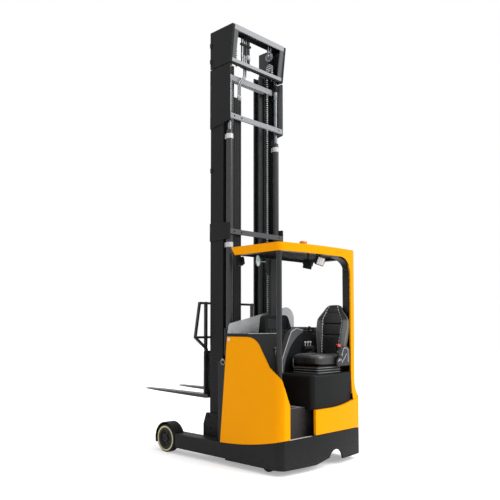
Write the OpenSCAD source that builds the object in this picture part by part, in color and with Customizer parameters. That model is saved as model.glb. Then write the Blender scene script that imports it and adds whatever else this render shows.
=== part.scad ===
// Reach truck with sideways seat, straddle legs and a three-stage roller mast.
// Millimetres. X runs forward to the fork tips, Y to the truck's left, Z up.
// Stations in X are measured from the rear face and shifted to the box centre.

/* [Overall] */
// Width over the straddle legs
truck_w = 1270; // [1200:10:1350]
// Height of the lowered mast
mast_top = 4650; // [4200:10:5000]
// Station of the load wheel axle
load_axle_x = 1770; // [1700:10:1850]
// Height of the overhead guard
guard_top = 2200; // [2100:10:2300]
// Plan radius of the rear face
rear_r = 4000; // [3000:100:6000]
// Plan radius of the rear corners
corner_r = 145; // [120:5:160]

/* [Chassis] */
// Height of the leg tops
leg_top = 220; // [210:1:230]
// Height of the leg undersides
leg_under = 66; // [50:1:80]
// Width of one leg beam
leg_w = 130; // [115:5:140]
// Rounding of the leg beams' outer edges
leg_round = 14; // [6:1:20]
// Front end of the tub and rear end of the legs
tub_front = 800; // [780:5:820]
// Height of the skirt's lower edge
skirt_z = 55; // [45:1:65]
// Thickness of the skirt
skirt_t = 18; // [12:1:25]
// Thickness of the deck where it meets the leg tops
deck_t = 15; // [10:1:20]
// Radius of the deck's side line
deck_r = 3700; // [3000:50:4500]
// Station where the deck line meets the leg tops
deck_x = 925; // [900:5:950]
// Height of the arch over the drive wheel in the rear skirt
arch_h = 165; // [140:1:180]
// Radius of that arch
arch_r = 120; // [100:1:130]
// Flange thickness of the reach rails
rail_t = 14; // [10:1:18]
// Flange width of the reach rails
rail_w = 40; // [34:1:46]
// Overhang of the reach rails past the load axle
rail_over = 70; // [60:1:90]
// Thickness of the plates that carry the load wheels
carrier_t = 30; // [20:1:32]

/* [Wheels] */
// Load wheel diameter
load_d = 300; // [280:5:320]
// Load wheel width
load_w = 90; // [80:1:95]
// Load wheel rim diameter
load_rim_d = 210; // [190:5:230]
// Load axle diameter
load_axle_d = 40; // [30:1:50]
// Gap between tyre and fender
fender_gap = 22; // [15:1:26]
// Fender thickness
fender_t = 8; // [6:1:10]
// Height of the fender's lower edge
fender_z = 95; // [80:1:110]
// Drive wheel diameter
drive_d = 340; // [310:5:350]
// Drive wheel width
drive_w = 114; // [100:1:120]
// Drive wheel rim diameter
drive_rim_d = 240; // [210:5:260]
// Drive wheel station
drive_x = 400; // [390:5:405]
// Drive wheel offset from the centre line
drive_y = -140; // [-160:5:-120]
// Clearance round the steered drive wheel
steer_gap = 15; // [10:1:20]
// Caster wheel diameter
caster_d = 150; // [140:1:156]
// Width of one caster wheel
caster_w = 44; // [40:1:46]
// Caster kingpin station
caster_x = 270; // [250:5:290]
// Caster kingpin inset from the truck's side
caster_in = 150; // [145:1:170]
// Caster trail
caster_trail = 40; // [30:1:45]
// Bevel of the tyre edges
tyre_bevel = 8; // [5:1:12]
// Radial running clearance in bores and glands
run_gap = 0.05; // [0.02:0.01:0.1]
// Gap between a roller and its rail
roll_gap = 0.3; // [0.2:0.1:0.5]

/* [Mast] */
// Thickness of the reach carriage's side plates
cheek_t = 22; // [16:1:24]
// Gap between those plates and the reach rails
cheek_gap = 19; // [15:1:25]
// Shim between those plates and the outer rails
cheek_shim = 6; // [4:1:8]
// Rear face of the outer rails
mast_rear = 1068; // [1060:1:1080]
// Depth of the outer rails
outer_depth = 202; // [196:1:210]
// Height of the mast's head above the outer rails
head_h = 425; // [410:1:440]
// Lower end of the outer rails
mast_foot = 100; // [95:1:106]
// Width of the outer rail flanges
outer_flange = 78; // [72:1:80]
// Rail flange thickness
flange_t = 18; // [14:1:19]
// Rail web thickness
web_t = 14; // [10:1:16]
// Root fillet of the rails
root_r = 6; // [3:1:7]
// Slide gap between nested rails
nest_gap = 8; // [6:1:10]
// Width of the intermediate rail flanges
mid_flange = 128; // [122:1:132]
// Width of the inner rail flanges
inner_flange = 113; // [110:1:116]
// Setback of the inner rail webs from the flange edges
inner_set = 62; // [58:1:66]
// Fall of the inner rails below the mast top
inner_drop = 350; // [345:1:360]
// Lower end of the sliding rails
stage_foot = 115; // [112:1:125]
// Lift cylinder barrel diameter
barrel_d = 76; // [70:1:78]
// Lift cylinder rod diameter
rod_d = 44; // [40:1:46]
// Fall of the barrel tops below the outer rails
barrel_drop = 705; // [680:5:730]
// Lift cylinder set-off behind the rails and inside the mast
lift_off = 48; // [46:1:50]
// Height of the outer mast's upper plates
plate_h = 662; // [620:1:700]
// Height of the lower tie above the floor
tie_z = 2316; // [2300:1:2400]
// Depth of the lower tie's plates
tie_h = 196; // [180:1:210]
// Thickness of the mast's side plates
plate_t = 10; // [8:1:12]
// Depth of the crossbars
bar_h = 54; // [46:1:60]
// Rearmost station of the crossbars
bar_x0 = 954; // [950:1:956]
// Lean of the head's rear edge
head_lean = 50; // [40:1:60]
// Chain pitch
chain_pitch = 50; // [40:1:60]
// Chain width
chain_w = 24; // [20:1:26]
// Height of a chain link plate
link_h = 18; // [16:1:20]
// Chain inset from the intermediate rails' outer faces
chain_in = 106; // [102:1:110]
// Sheave diameter at the chain's inner edge
sheave_d = 60; // [54:1:66]
// Hydraulic pipe diameter
pipe_d = 18; // [14:1:20]
// Hydraulic hose diameter
hose_d = 22; // [20:1:24]

/* [Forks] */
// Station of the fork faces
heel_x = 1455; // [1450:5:1470]
// Fork blade length
fork_len = 1150; // [1000:10:1200]
// Fork blade width
fork_w = 120; // [100:5:130]
// Fork blade thickness
fork_t = 40; // [35:1:44]
// Thickness of the fork tips
tip_t = 12; // [8:1:16]
// Height of the blade tops as parked
fork_z = 632; // [620:1:660]
// Inset of the forks from the ends of their frame
fork_in = 63; // [50:1:70]
// Side shift to each side
shift = 70; // [60:1:75]
// Height of the fork frame
frame_h = 480; // [460:1:500]
// Height of the fork frame's beams
beam_h = 120; // [110:1:126]
// Plate thickness of the carriage frames
frame_t = 25; // [20:1:26]
// Height of the load backrest
rest_h = 540; // [500:1:580]
// Flare of the load backrest beyond the fork frame
rest_flare = 145; // [120:1:150]
// Bar width of the load backrest
rest_bar = 25; // [20:1:30]

/* [Cab] */
// Height of the side panels
panel_top = 1288; // [1260:1:1300]
// Thickness of the side panels
panel_t = 28; // [22:1:30]
// Station of the panel fronts at the deck
panel_low_x = 875; // [860:1:885]
// Station of the panel fronts at the top
panel_high_x = 776; // [765:1:785]
// Slope of the left panel's rear edge
panel_slope = 57; // [52:1:62]
// Fall of that edge
panel_fall = 288; // [260:1:300]
// Station of its lower end
panel_foot_x = 185; // [170:1:200]
// Radius of the left panel's shoulder
shoulder_r = 140; // [100:5:150]
// Fall of the edge round the truck's corner
edge_fall = 110; // [100:1:120]
// Height where that edge becomes upright
edge_z = 640; // [620:1:660]
// Radius of the edge where it becomes upright
edge_r = 120; // [80:5:150]
// Step opening's left side, from the truck's side
step_in = 113; // [105:1:120]
// Step opening's right side, from the centre line
step_right = 180; // [170:1:190]
// Station of the step's riser
riser_x = 130; // [125:1:135]
// Depth of the step under the seat box
step_under = 130; // [120:1:140]
// Height of the rear cover beside the step
cover_top = 580; // [560:1:600]
// Radius of the rear cover's rising top edge
cover_r = 2000; // [1600:50:2500]
// Station where the rear cover ends on the right side
cover_x = 200; // [196:1:203]
// Cab floor height
floor_z = 600; // [585:1:620]
// Floor plate thickness
floor_t = 20; // [15:1:25]
// Rise of the hood lid above the panels
hood_rise = 32; // [28:1:40]
// Rear face of the bulkhead
bulkhead_x = 510; // [505:1:515]
// Bulkhead thickness
bulkhead_t = 30; // [24:1:36]
// Wall of the hood
hood_t = 22; // [16:1:24]
// Seat box height
seat_box_top = 915; // [890:1:930]
// Wall of the seat box
seat_box_t = 15; // [10:1:18]
// Rounding of the seat box
seat_box_r = 60; // [40:1:70]
// Battery height above the floor
battery_top = 1030; // [1000:1:1040]
// Battery's front face
battery_x = 958; // [940:1:960]
// Thickness of the windscreen
screen_t = 6; // [4:1:8]
// Rise of the windscreen's peak above the hood
screen_h = 311; // [290:1:330]
// Rise of its low end
screen_low = 95; // [80:1:110]

/* [Guard] */
// Depth of the guard's rim
rim_h = 85; // [78:1:92]
// Width of the guard's rim
rim_w = 70; // [60:1:80]
// Front end of the guard
guard_front = 800; // [790:1:815]
// Slant of the guard's front
guard_slant = 55; // [40:1:60]
// Radius of the guard's rear edge
guard_r = 3453; // [3000:1:4000]
// Rearmost station of the guard
guard_rear = 45; // [40:1:50]
// Radius of the guard's left rear corner
guard_corner = 60; // [40:1:64]
// Radius of the rear pillar's corner
pillar_corner = 115; // [100:1:125]
// Guard inset at the left
guard_left = 79; // [76:1:85]
// Guard inset at the right
guard_right = 15; // [10:1:20]
// Width of the rear pillar
pillar_w = 142; // [136:1:148]
// Wall of the rear pillar
pillar_t = 16; // [12:1:18]
// Depth of the liner in the rear pillar, from the pillar's side
liner_w = 83; // [76:1:84]
// Front of the rear pillar
pillar_x = 200; // [190:1:203]
// Fillet between rear pillar and rim
pillar_r = 180; // [140:1:200]
// Diameter of the left post
post_d = 54; // [48:1:60]
// Station of the left post
post_x = 165; // [160:1:172]
// Pitch of the roof bars
roof_pitch = 80; // [70:1:90]
// Width of a roof bar
roof_bar = 30; // [24:1:36]

/* [Seat] */
// Cushion width
cushion_w = 380; // [350:1:390]
// Cushion length
cushion_l = 420; // [390:1:430]
// Cushion thickness
cushion_t = 112; // [90:1:120]
// Height of the bellows under the cushion
bellows_h = 75; // [65:1:85]
// Height of the backrest
back_h = 610; // [560:1:630]
// Thickness of the backrest
back_t = 85; // [70:1:88]
// Lean of the backrest
back_lean = 4.5; // [3:0.5:5]
// Station of the seat's centre line
seat_x = 285; // [280:1:290]
// Face of the backrest from the truck's right side
seat_in = 235; // [230:1:245]

/* [Hidden] */
$fn = 64;
paint = "#f2a900";
black = "#1f1f21";
coal = "#2b2b2d";
half_w = truck_w / 2;
centre_x = (heel_x + fork_len) / 2;
seam = 3;
over = 1;
deck_under = leg_top - deck_t;
leg_in = half_w - leg_w;
leg_front = load_axle_x - 180;
rail_in = leg_in - rail_w;
rail_front = load_axle_x + rail_over;
rail_z = (leg_under + leg_top) / 2;
rail_throat = leg_top - leg_under - 2 * rail_t;
load_r = load_d / 2;
load_y = half_w - 2 - load_w / 2;
fender_r = load_r + fender_gap;
drive_r = drive_d / 2;
steer_r = sqrt(pow(drive_r, 2) + pow(drive_w / 2, 2)) + steer_gap;
bridge_z = drive_d + 50;
bridge_t = 25;
neck_d = 200;
hub_d = 60;
caster_y = half_w - caster_in;
caster_r = caster_d / 2;
caster_pin = 30;
caster_axle = 24;
caster_gap = 14;
reach_y = 150;
reach_d = 70;
reach_rod = 40;
reach_gland = 960;
cheek_out = rail_in - cheek_gap;
cheek_in = cheek_out - cheek_t;
mast_y = cheek_in - cheek_shim;
mast_front = mast_rear + outer_depth;
mast_x = mast_rear + outer_depth / 2;
mid_y = mast_y - web_t - nest_gap;
mid_rear = mast_rear + flange_t + nest_gap;
mid_depth = outer_depth - 2 * (flange_t + nest_gap);
mid_web = mast_y - outer_flange - web_t;
inner_y = mid_web - nest_gap;
inner_rear = mid_rear + flange_t + nest_gap;
inner_depth = mid_depth - 2 * (flange_t + nest_gap);
inner_web = inner_y - inner_set;
inner_in = inner_y - inner_flange;
outer_top = mast_top - head_h;
inner_top = mast_top - inner_drop;
foot_cut = 185;
roll_side = root_r + 3;
lift_x = mast_rear - lift_off;
lift_y = mast_y - lift_off;
barrel_top = outer_top - barrel_drop;
rod_top = outer_top + 65;
seat_t = 30;
chain_y = mid_y - chain_in;
chain_x = mid_rear - 16;
sheave_x = chain_x - (sheave_d + link_h) / 2;
sheave_z = inner_top + 100;
chain_foot = 300;
hose_top = outer_top - 340;
pipe_x = bar_x0 + 46;
pipe_pitch = 28;
tie_t = 28;
slide_out = inner_in - 10;
slide_in = slide_out - 20;
lug_t = 25;
shift_half = rail_in - shift - 10;
frame_z = fork_z + 8;
frame_top = frame_z + frame_h;
pivot_x = 1330;
pivot_z = frame_top - 70;
pivot_d = 30;
frame_x = heel_x - fork_t - frame_t;
tilt_x = frame_x - 7 - frame_t;
panel_in = half_w - panel_t;
panel_foot_z = panel_top - panel_fall;
step_left = half_w - step_in;
hood_top = panel_top + hood_rise;
box_right = -(half_w - 100);
box_left = step_right + 8;
box_front = bulkhead_x + 33;
guard_y = half_w - guard_left;
guard_z = guard_top - rim_h;
guard_mid = -250;
slat_z = guard_top - 60;
pillar_y = -(half_w - guard_right);
pillar_in = pillar_y + pillar_w;
cover_high = ceil(cover_top + cover_r - sqrt(pow(cover_r, 2) - pow(half_w, 2))) + 5;
cushion_z = seat_box_top + bellows_h;
seat_y = seat_in - half_w;

// A solid pushed out of the XZ plane between two Y values
module along_y(y0, y1) {
  translate([0, y1, 0]) rotate([90, 0, 0]) linear_extrude(height = y1 - y0) children();
}

// A solid pushed out of the YZ plane between two X values
module along_x(x0, x1) {
  translate([x0, 0, 0]) rotate([90, 0, 90]) linear_extrude(height = x1 - x0) children();
}

// A solid pushed up from the XY plane between two Z values
module along_z(z0, z1) {
  translate([0, 0, z0]) linear_extrude(height = z1 - z0) children();
}

// A box between two corners
module span(lo, hi) {
  translate(lo) cube(hi - lo);
}

// A round bar along Y
module bar_y(x, z, y0, y1, d) {
  translate([x, y1, z]) rotate([90, 0, 0]) cylinder(d = d, h = y1 - y0);
}

// A round bar along X
module bar_x(y, z, x0, x1, d) {
  translate([x0, y, z]) rotate([0, 90, 0]) cylinder(d = d, h = x1 - x0);
}

// A round bar along Z
module bar_z(x, y, z0, z1, d) {
  translate([x, y, z0]) cylinder(d = d, h = z1 - z0);
}

// Children on the left side and mirrored on the right side
module both_sides() {
  children();
  mirror([0, 1, 0]) children();
}

function unit(v) = v / norm(v);

// Polygon with each convex corner rounded by its own radius
module soft_poly(p, r) {
  n = len(p);
  back = [for (i = [0:n - 1]) unit(p[(i + n - 1) % n] - p[i])];
  ahead = [for (i = [0:n - 1]) unit(p[(i + 1) % n] - p[i])];
  half = [for (i = [0:n - 1]) acos(back[i] * ahead[i]) / 2];
  polygon([for (i = [0:n - 1]) each r[i] > 0
    ? [p[i] + back[i] * r[i] / tan(half[i]), p[i] + ahead[i] * r[i] / tan(half[i])] : [p[i]]]);
  for (i = [0:n - 1])
    if (r[i] > 0)
      translate(p[i] + unit(back[i] + ahead[i]) * r[i] / sin(half[i])) circle(r = r[i]);
}

// Rectangle with rounded corners
module soft_rect(lo, hi, r) {
  soft_poly([lo, [hi[0], lo[1]], hi, [lo[0], hi[1]]], [r, r, r, r]);
}

// Plan of the truck's rear body, drawn in by an inset
module plan(front, inset) {
  intersection() {
    union() {
      translate([corner_r, inset - half_w]) square([front - corner_r, truck_w - 2 * inset]);
      translate([inset, corner_r - half_w]) square([corner_r, truck_w - 2 * corner_r]);
      for (s = [-1, 1])
        translate([corner_r, s * (half_w - corner_r)]) circle(r = corner_r - inset);
    }
    translate([rear_r, 0]) circle(r = rear_r - inset, $fn = 256);
  }
}

// Space above the deck line
module above_deck(gap) {
  translate([deck_x, half_w + over, leg_top + deck_r]) rotate([90, 0, 0])
    cylinder(r = deck_r - gap, h = truck_w + 2 * over, $fn = 256);
}

// Space swept by the steered drive wheel
module steer_space(top) {
  bar_z(drive_x, drive_y, -over, top, 2 * steer_r);
}

// Ramp and arch in the rear skirt
module rear_arch() {
  ramp = 200;
  along_x(-over, corner_r) {
    translate([drive_y, arch_h - arch_r]) circle(r = arch_r);
    polygon([[drive_y, -over], [drive_y + arch_r + ramp, -over], [drive_y + arch_r + ramp, skirt_z],
      [drive_y + arch_r / 2, arch_h - arch_r / 2], [drive_y, arch_h - arch_r]]);
  }
}

module chassis_tub() {
  color(coal) difference() {
    along_z(skirt_z, leg_top + corner_r + half_w / 5) plan(tub_front, 0);
    above_deck(0);
    intersection() {
      along_z(-over, deck_under) plan(tub_front, skirt_t);
      span([0, -half_w, -over], [tub_front - skirt_t, half_w, deck_under]);
    }
    steer_space(leg_top + half_w);
    bar_z(caster_x, caster_y, 0, leg_top + half_w, caster_pin + 2 * run_gap);
    bar_x(reach_y, rail_z, tub_front - 2 * skirt_t, tub_front + over, reach_d + 2);
    rear_arch();
  }
}

module legs() {
  color(coal) both_sides() {
    along_x(tub_front, leg_front) soft_poly([[leg_in, leg_under], [half_w, leg_under],
      [half_w, leg_top], [leg_in, leg_top]], [0, leg_round, leg_round, 0]);
    for (z = [leg_under, leg_top - rail_t])
      span([tub_front, rail_in, z], [rail_front, leg_in, z + rail_t]);
    difference() {
      union() {
        span([leg_front, leg_in, leg_under], [rail_front, leg_in + carrier_t, leg_top]);
        bar_y(load_axle_x, load_r, leg_in, leg_in + carrier_t, 2 * (fender_r + fender_t));
      }
      span([leg_front, leg_in - over, -load_d], [rail_front + load_d, half_w, leg_under]);
    }
  }
}

module wheel_fenders() {
  y0 = leg_in + carrier_t;
  color("#1c1c1e") both_sides() difference() {
    bar_y(load_axle_x, load_r, y0, half_w - seam, 2 * (fender_r + fender_t));
    bar_y(load_axle_x, load_r, y0 - over, half_w, 2 * fender_r);
    span([load_axle_x - load_d, y0 - over, -load_d], [leg_front + seam, half_w, 2 * load_d]);
    span([load_axle_x - load_d, y0 - over, -load_d], [load_axle_x + load_d, half_w, fender_z]);
  }
}

module load_axles() {
  color("#8a8d90") both_sides()
    bar_y(load_axle_x, load_r, leg_in + carrier_t, half_w - 6, load_axle_d);
}

// Tyre of a wheel about Y
module tyre(r, rim_d, w) {
  rotate([90, 0, 0]) rotate_extrude($fn = 96) polygon([[rim_d / 2, -w / 2], [r - tyre_bevel, -w / 2],
    [r, tyre_bevel - w / 2], [r, w / 2 - tyre_bevel], [r - tyre_bevel, w / 2], [rim_d / 2, w / 2]]);
}

// Wheel hub with a dished outer face and a ring of bolt bosses
module hub(rim_d, bore_d, w) {
  rim = 14;
  dish = 16;
  boss_d = 18;
  cap_r = bore_d / 2 + 16;
  bolt_r = (cap_r + rim_d / 2 - rim) / 2;
  face = w / 2;
  rotate([90, 0, 0]) {
    rotate_extrude($fn = 96) polygon([[bore_d / 2, -face], [cap_r, -face], [cap_r + 4, dish - face],
      [rim_d / 2 - rim - 6, dish - face], [rim_d / 2 - rim, -face], [rim_d / 2, -face],
      [rim_d / 2, face], [bore_d / 2, face]]);
    for (a = [0:60:300])
      rotate([0, 0, a]) translate([bolt_r, 0, dish / 2 - face]) cylinder(d = boss_d, h = dish);
  }
}

module load_at(side) {
  translate([load_axle_x, side * load_y, load_r]) children();
}

module left_load_tyre() {
  color("#1b1b1b") load_at(1) tyre(load_r, load_rim_d, load_w);
}

module left_load_hub() {
  color("#3a3a3c") load_at(1) hub(load_rim_d, load_axle_d + 2 * run_gap, load_w);
}

module right_load_tyre() {
  color("#1b1b1b") load_at(-1) tyre(load_r, load_rim_d, load_w);
}

module right_load_hub() {
  color("#3a3a3c") load_at(-1) mirror([0, 1, 0]) hub(load_rim_d, load_axle_d + 2 * run_gap, load_w);
}

// Side outline of a panel from its front edge back to a rear station
module panel_front_edge(rear_x) {
  polygon([[rear_x, deck_under], [panel_low_x, deck_under], [panel_low_x, leg_top],
    [panel_high_x, panel_top], [rear_x, panel_top]]);
}

module left_panel() {
  foot = -panel_foot_x / sqrt(2);
  shoulder = foot - panel_fall / tan(panel_slope) / sqrt(2);
  tail = step_in / 2;
  color(paint) intersection() {
    along_z(deck_under, panel_top) difference() {
      plan(panel_low_x, 0);
      plan(panel_low_x + over, panel_t);
    }
    above_deck(seam);
    span([-over, step_left, 0], [panel_low_x, half_w + over, panel_top]);
    along_y(step_left - over, half_w + over) panel_front_edge(-over);
    translate([0, half_w, 0]) rotate([0, 0, 225]) along_y(-panel_low_x, panel_low_x)
      soft_poly([[-panel_low_x, 0], [tail, 0], [tail, edge_z],
        [foot + edge_fall, panel_foot_z - edge_fall], [foot, panel_foot_z],
        [shoulder, panel_top], [-panel_low_x, panel_top]], [0, 0, edge_r, edge_r / 2, 0, shoulder_r, 0]);
  }
}

module right_panel() {
  rear = cover_x + seam;
  crown = 60;
  color(paint) intersection() {
    span([rear, -half_w, 0], [panel_low_x, -panel_in, panel_top]);
    above_deck(seam);
    along_y(-half_w - over, over - panel_in) {
      panel_front_edge(rear + crown);
      soft_poly([[rear, deck_under], [panel_high_x, deck_under], [panel_high_x, panel_top],
        [rear, panel_top]], [0, 0, 0, crown]);
    }
  }
}

module rear_cover() {
  flat = -60;
  color(paint) intersection() {
    along_z(deck_under, cover_high) difference() {
      plan(panel_low_x, 0);
      plan(panel_low_x + over, panel_t);
    }
    above_deck(seam);
    span([-over, -half_w - over, 0], [cover_x, step_right, cover_high]);
    along_x(-over, cover_x + over) difference() {
      translate([-half_w - over, 0]) square([half_w + step_right + 2 * over, cover_high]);
      translate([flat, cover_top + cover_r]) circle(r = cover_r, $fn = 256);
      translate([flat, cover_top]) square([half_w, cover_high]);
    }
  }
}

module seat_box() {
  edge = 30;
  color("#232325") difference() {
    intersection() {
      along_z(leg_top, seat_box_top) plan(box_front, panel_t);
      above_deck(0);
      along_z(leg_top, seat_box_top) soft_poly([[0, box_right], [box_front, box_right],
        [box_front, box_left], [panel_t, box_left]], [0, 0, 0, seat_box_r]);
      along_x(0, box_front) soft_poly([[box_right, 0], [box_left, 0], [box_left, seat_box_top],
        [box_right, seat_box_top]], [0, 0, edge, 0]);
      along_y(box_right, box_left) soft_poly([[panel_t, 0], [box_front, 0], [box_front, seat_box_top],
        [panel_t, seat_box_top]], [0, 0, 0, edge]);
    }
    span([corner_r, box_right + seat_box_t, 0],
      [box_front - seat_box_t, box_left - seat_box_t, seat_box_top - seat_box_t]);
    steer_space(bridge_z - 10);
    span([-over, box_left - step_under, 0], [riser_x + floor_t, box_left + over, floor_z - floor_t]);
    span([-over, box_right - over, 0],
      [guard_rear + 2 * pillar_t + seam, pillar_in + seam, seat_box_top + over]);
  }
}

module cab_floor() {
  rib_t = 4;
  rib_pitch = 30;
  color("#3d3a36") {
    span([riser_x, box_left, floor_z - floor_t], [bulkhead_x, panel_in - seam, floor_z]);
    intersection() {
      union() {
        span([riser_x, box_left - step_under, 0],
          [riser_x + floor_t, panel_in - seam, floor_z - floor_t]);
        span([bulkhead_x - floor_t, box_left, 0], [bulkhead_x, panel_in - seam, floor_z - floor_t]);
      }
      above_deck(0);
    }
    for (y = [box_left + rib_pitch:rib_pitch:step_left - post_d])
      span([riser_x + rib_pitch, y, floor_z], [bulkhead_x - rib_pitch, y + 12, floor_z + rib_t]);
  }
}

module front_hood() {
  lip = 8;
  front_low = panel_high_x + (panel_low_x - panel_high_x) * (panel_top - battery_top)
    / (panel_top - leg_top) - hood_t;
  bar_x0 = 840;
  bar_w = 46;
  bar_y0 = panel_in - 60;
  color("#262628") {
    difference() {
      along_y(-panel_in, panel_in) soft_poly([[bulkhead_x, battery_top], [front_low, battery_top],
        [panel_high_x - lip, panel_top], [guard_front + screen_t + lip, panel_top],
        [guard_front + screen_t + lip, hood_top], [bulkhead_x, hood_top]], [0, 0, 0, 0, lip, lip]);
      along_y(hood_t - panel_in, panel_in - hood_t) polygon([[bulkhead_x + bulkhead_t, battery_top - over],
        [front_low - hood_t, battery_top - over], [panel_high_x - lip - hood_t, hood_top - hood_t],
        [bulkhead_x + bulkhead_t, hood_top - hood_t]]);
    }
    span([bulkhead_x, -panel_in, seat_box_top], [bulkhead_x + bulkhead_t, panel_in, battery_top]);
    span([bulkhead_x, box_left, floor_z], [bulkhead_x + bulkhead_t, panel_in, seat_box_top]);
    along_z(battery_top + 60, hood_top + 50)
      soft_rect([bar_x0, bar_y0], [bar_x0 + bar_w, bar_y0 + 30], 12);
    for (share = [0.4, 0.74])
      span([panel_high_x - hood_t, bar_y0 + 5, battery_top + share * (hood_top - battery_top)],
        [bar_x0 + 15, bar_y0 + 25, battery_top + share * (hood_top - battery_top) + hood_rise]);
  }
}

module battery() {
  rear = 600;
  side = half_w - 45;
  color("#3a3b3e") intersection() {
    along_z(leg_top, battery_top) soft_rect([rear, -side], [battery_x, side], 12);
    above_deck(0);
  }
}

module drive_bridge() {
  half = 225;
  foot_t = 20;
  x0 = 260;
  x1 = box_front - seat_box_t;
  color("#3a3a3c") {
    difference() {
      span([x0, drive_y - half, bridge_z], [x1, drive_y + half, bridge_z + bridge_t]);
      bar_z(drive_x, drive_y, bridge_z - over, bridge_z + bridge_t + over, neck_d + 2 * run_gap);
    }
    intersection() {
      union() for (y = [drive_y - half, drive_y + half - foot_t])
        span([x0, y, 0], [x1, y + foot_t, bridge_z]);
      above_deck(0);
    }
  }
}

module reach_barrel() {
  rear = 340;
  wall = 10;
  lug = 30;
  color(coal) difference() {
    union() {
      bar_x(reach_y, rail_z, rear, reach_gland, reach_d);
      span([rear + lug / 3, reach_y - 20, rail_z], [rear + 4 * lug / 3, reach_y + 20, deck_under]);
    }
    bar_x(reach_y, rail_z, rear + lug, reach_gland - lug, reach_d - 2 * wall);
    bar_x(reach_y, rail_z, reach_gland - 2 * lug, reach_gland + over, reach_rod + 2 * run_gap);
  }
}

// Rounded rear corner of the guard on one side, with the guard's arc
function guard_heart(y, r, inset) = [guard_rear + guard_r
  - sqrt(pow(guard_r - inset - r, 2) - pow(y - guard_mid, 2)), y];

// Plan of the guard, drawn in by an inset
module guard_plan(inset) {
  arc = guard_r - inset;
  ends = [[1, guard_y - inset, max(guard_corner - inset, 6)],
    [-1, pillar_y + inset, max(pillar_corner - inset, 6)]];
  difference() {
    intersection() {
      translate([0, pillar_y + inset]) square([guard_front - inset, guard_y - pillar_y - 2 * inset]);
      translate([guard_rear + guard_r, guard_mid]) circle(r = arc, $fn = 256);
    }
    for (e = ends) {
      r = e[2];
      c = guard_heart(e[1] - e[0] * r, r, inset);
      tilt = asin((c[1] - guard_mid) / (arc - r));
      polygon([c, c + 3 * r * [-cos(tilt), sin(tilt)], c + 3 * r * [-1, e[0]], c + 3 * r * [0, e[0]]]);
    }
  }
  for (e = ends)
    translate(guard_heart(e[1] - e[0] * e[2], e[2], inset)) circle(r = e[2]);
}

// Rear view of the pillar with its fillet up to the rim
module pillar_front() {
  difference() {
    translate([pillar_y, 0]) square([pillar_w + pillar_r, guard_z]);
    translate([pillar_in, 0]) square([pillar_r + over, guard_z - pillar_r]);
    translate([pillar_in + pillar_r, guard_z - pillar_r]) circle(r = pillar_r);
  }
}

module guard_roof() {
  color("#ffc400") {
    difference() {
      along_z(guard_z, guard_top) guard_plan(0);
      along_z(guard_z - over, guard_top + over) guard_plan(rim_w);
      along_y(pillar_y - over, guard_y + over) polygon([[guard_front - guard_slant, guard_z - over],
        [guard_front, guard_top], [guard_front + over, guard_top], [guard_front + over, guard_z - over]]);
    }
    intersection() {
      along_z(cover_high, guard_z) difference() {
        guard_plan(0);
        guard_plan(pillar_t);
      }
      along_x(0, pillar_x) pillar_front();
    }
    intersection() {
      along_z(leg_top, cover_high) intersection() {
        plan(pillar_x, panel_t + over);
        guard_plan(0);
        translate([0, pillar_y]) square([pillar_x, box_right - pillar_y - over]);
      }
      above_deck(0);
    }
  }
}

module guard_bars() {
  plate = 110;
  beacon_x = 300;
  first = ceil((pillar_y + rim_w) / roof_pitch);
  last = floor((guard_y - rim_w - roof_bar / 2) / roof_pitch);
  color("#19191b") {
    intersection() {
      along_z(slat_z, guard_top - 30) guard_plan(rim_w);
      along_x(0, guard_front) for (i = [first:last])
        soft_rect([i * roof_pitch - roof_bar / 2, slat_z],
          [i * roof_pitch + roof_bar / 2, guard_top - 30], 6);
    }
    span([beacon_x - plate / 2, -roof_pitch - roof_bar / 2, guard_top - 30],
      [beacon_x + plate / 2, roof_pitch + roof_bar / 2, guard_top - 24]);
  }
}

module guard_posts() {
  stem = 58;
  stem_x = 700;
  stem_t = 42;
  gusset_h = 95;
  gusset_w = 52;
  liner_z = cover_high + seam;
  color(coal) {
    bar_z(post_x, guard_y - post_d / 2, floor_z, guard_z, post_d);
    span([stem_x, -stem, hood_top], [stem_x + stem_t, stem, guard_z]);
    along_x(stem_x + stem_t / 2, stem_x + stem_t) difference() {
      soft_poly([[-stem - gusset_w, guard_z], [-stem - gusset_w, guard_z - gusset_h],
        [-stem, guard_z - 2 * gusset_h],
        [stem, guard_z - 2 * gusset_h], [stem + gusset_w, guard_z - gusset_h], [stem + gusset_w, guard_z]],
        [0, 30, 0, 0, 30, 0]);
      for (y = [-stem - gusset_w / 2, stem + gusset_w / 2], z = [30, 68])
        translate([y, guard_z - z]) circle(d = 16);
    }
    along_z(liner_z, guard_z) intersection() {
      guard_plan(pillar_t + over);
      translate([0, pillar_y]) square([pillar_x, liner_w]);
    }
  }
}

module windscreen() {
  side = half_w - 35;
  end = 205 - half_w;
  slant = 24;
  color([0.6, 0.65, 0.66, 0.5]) along_x(guard_front, guard_front + screen_t)
    soft_poly([[side, hood_top], [side - slant, hood_top + screen_low],
      [end, hood_top + screen_h], [end, hood_top]], [0, 30, 130, 0]);
}

module display_console() {
  left = 335;
  right = -85;
  h = 188;
  depth = 100;
  x0 = bulkhead_x + 12;
  color("#1b1b1d") difference() {
    intersection() {
      along_x(x0, x0 + depth) soft_poly([[right, hood_top], [left, hood_top], [left, hood_top + h],
        [right + 62, hood_top + h]], [0, 0, 46, 52]);
      along_y(right, left) soft_poly([[x0, hood_top], [x0 + depth, hood_top], [x0 + depth - 25, hood_top + h],
        [x0 + 18, hood_top + h]], [0, 0, 30, 8]);
    }
    along_x(x0 - over, x0 + 22) soft_rect([right + 70, hood_top + 40], [left - 40, hood_top + h - 36], 18);
  }
}

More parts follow.
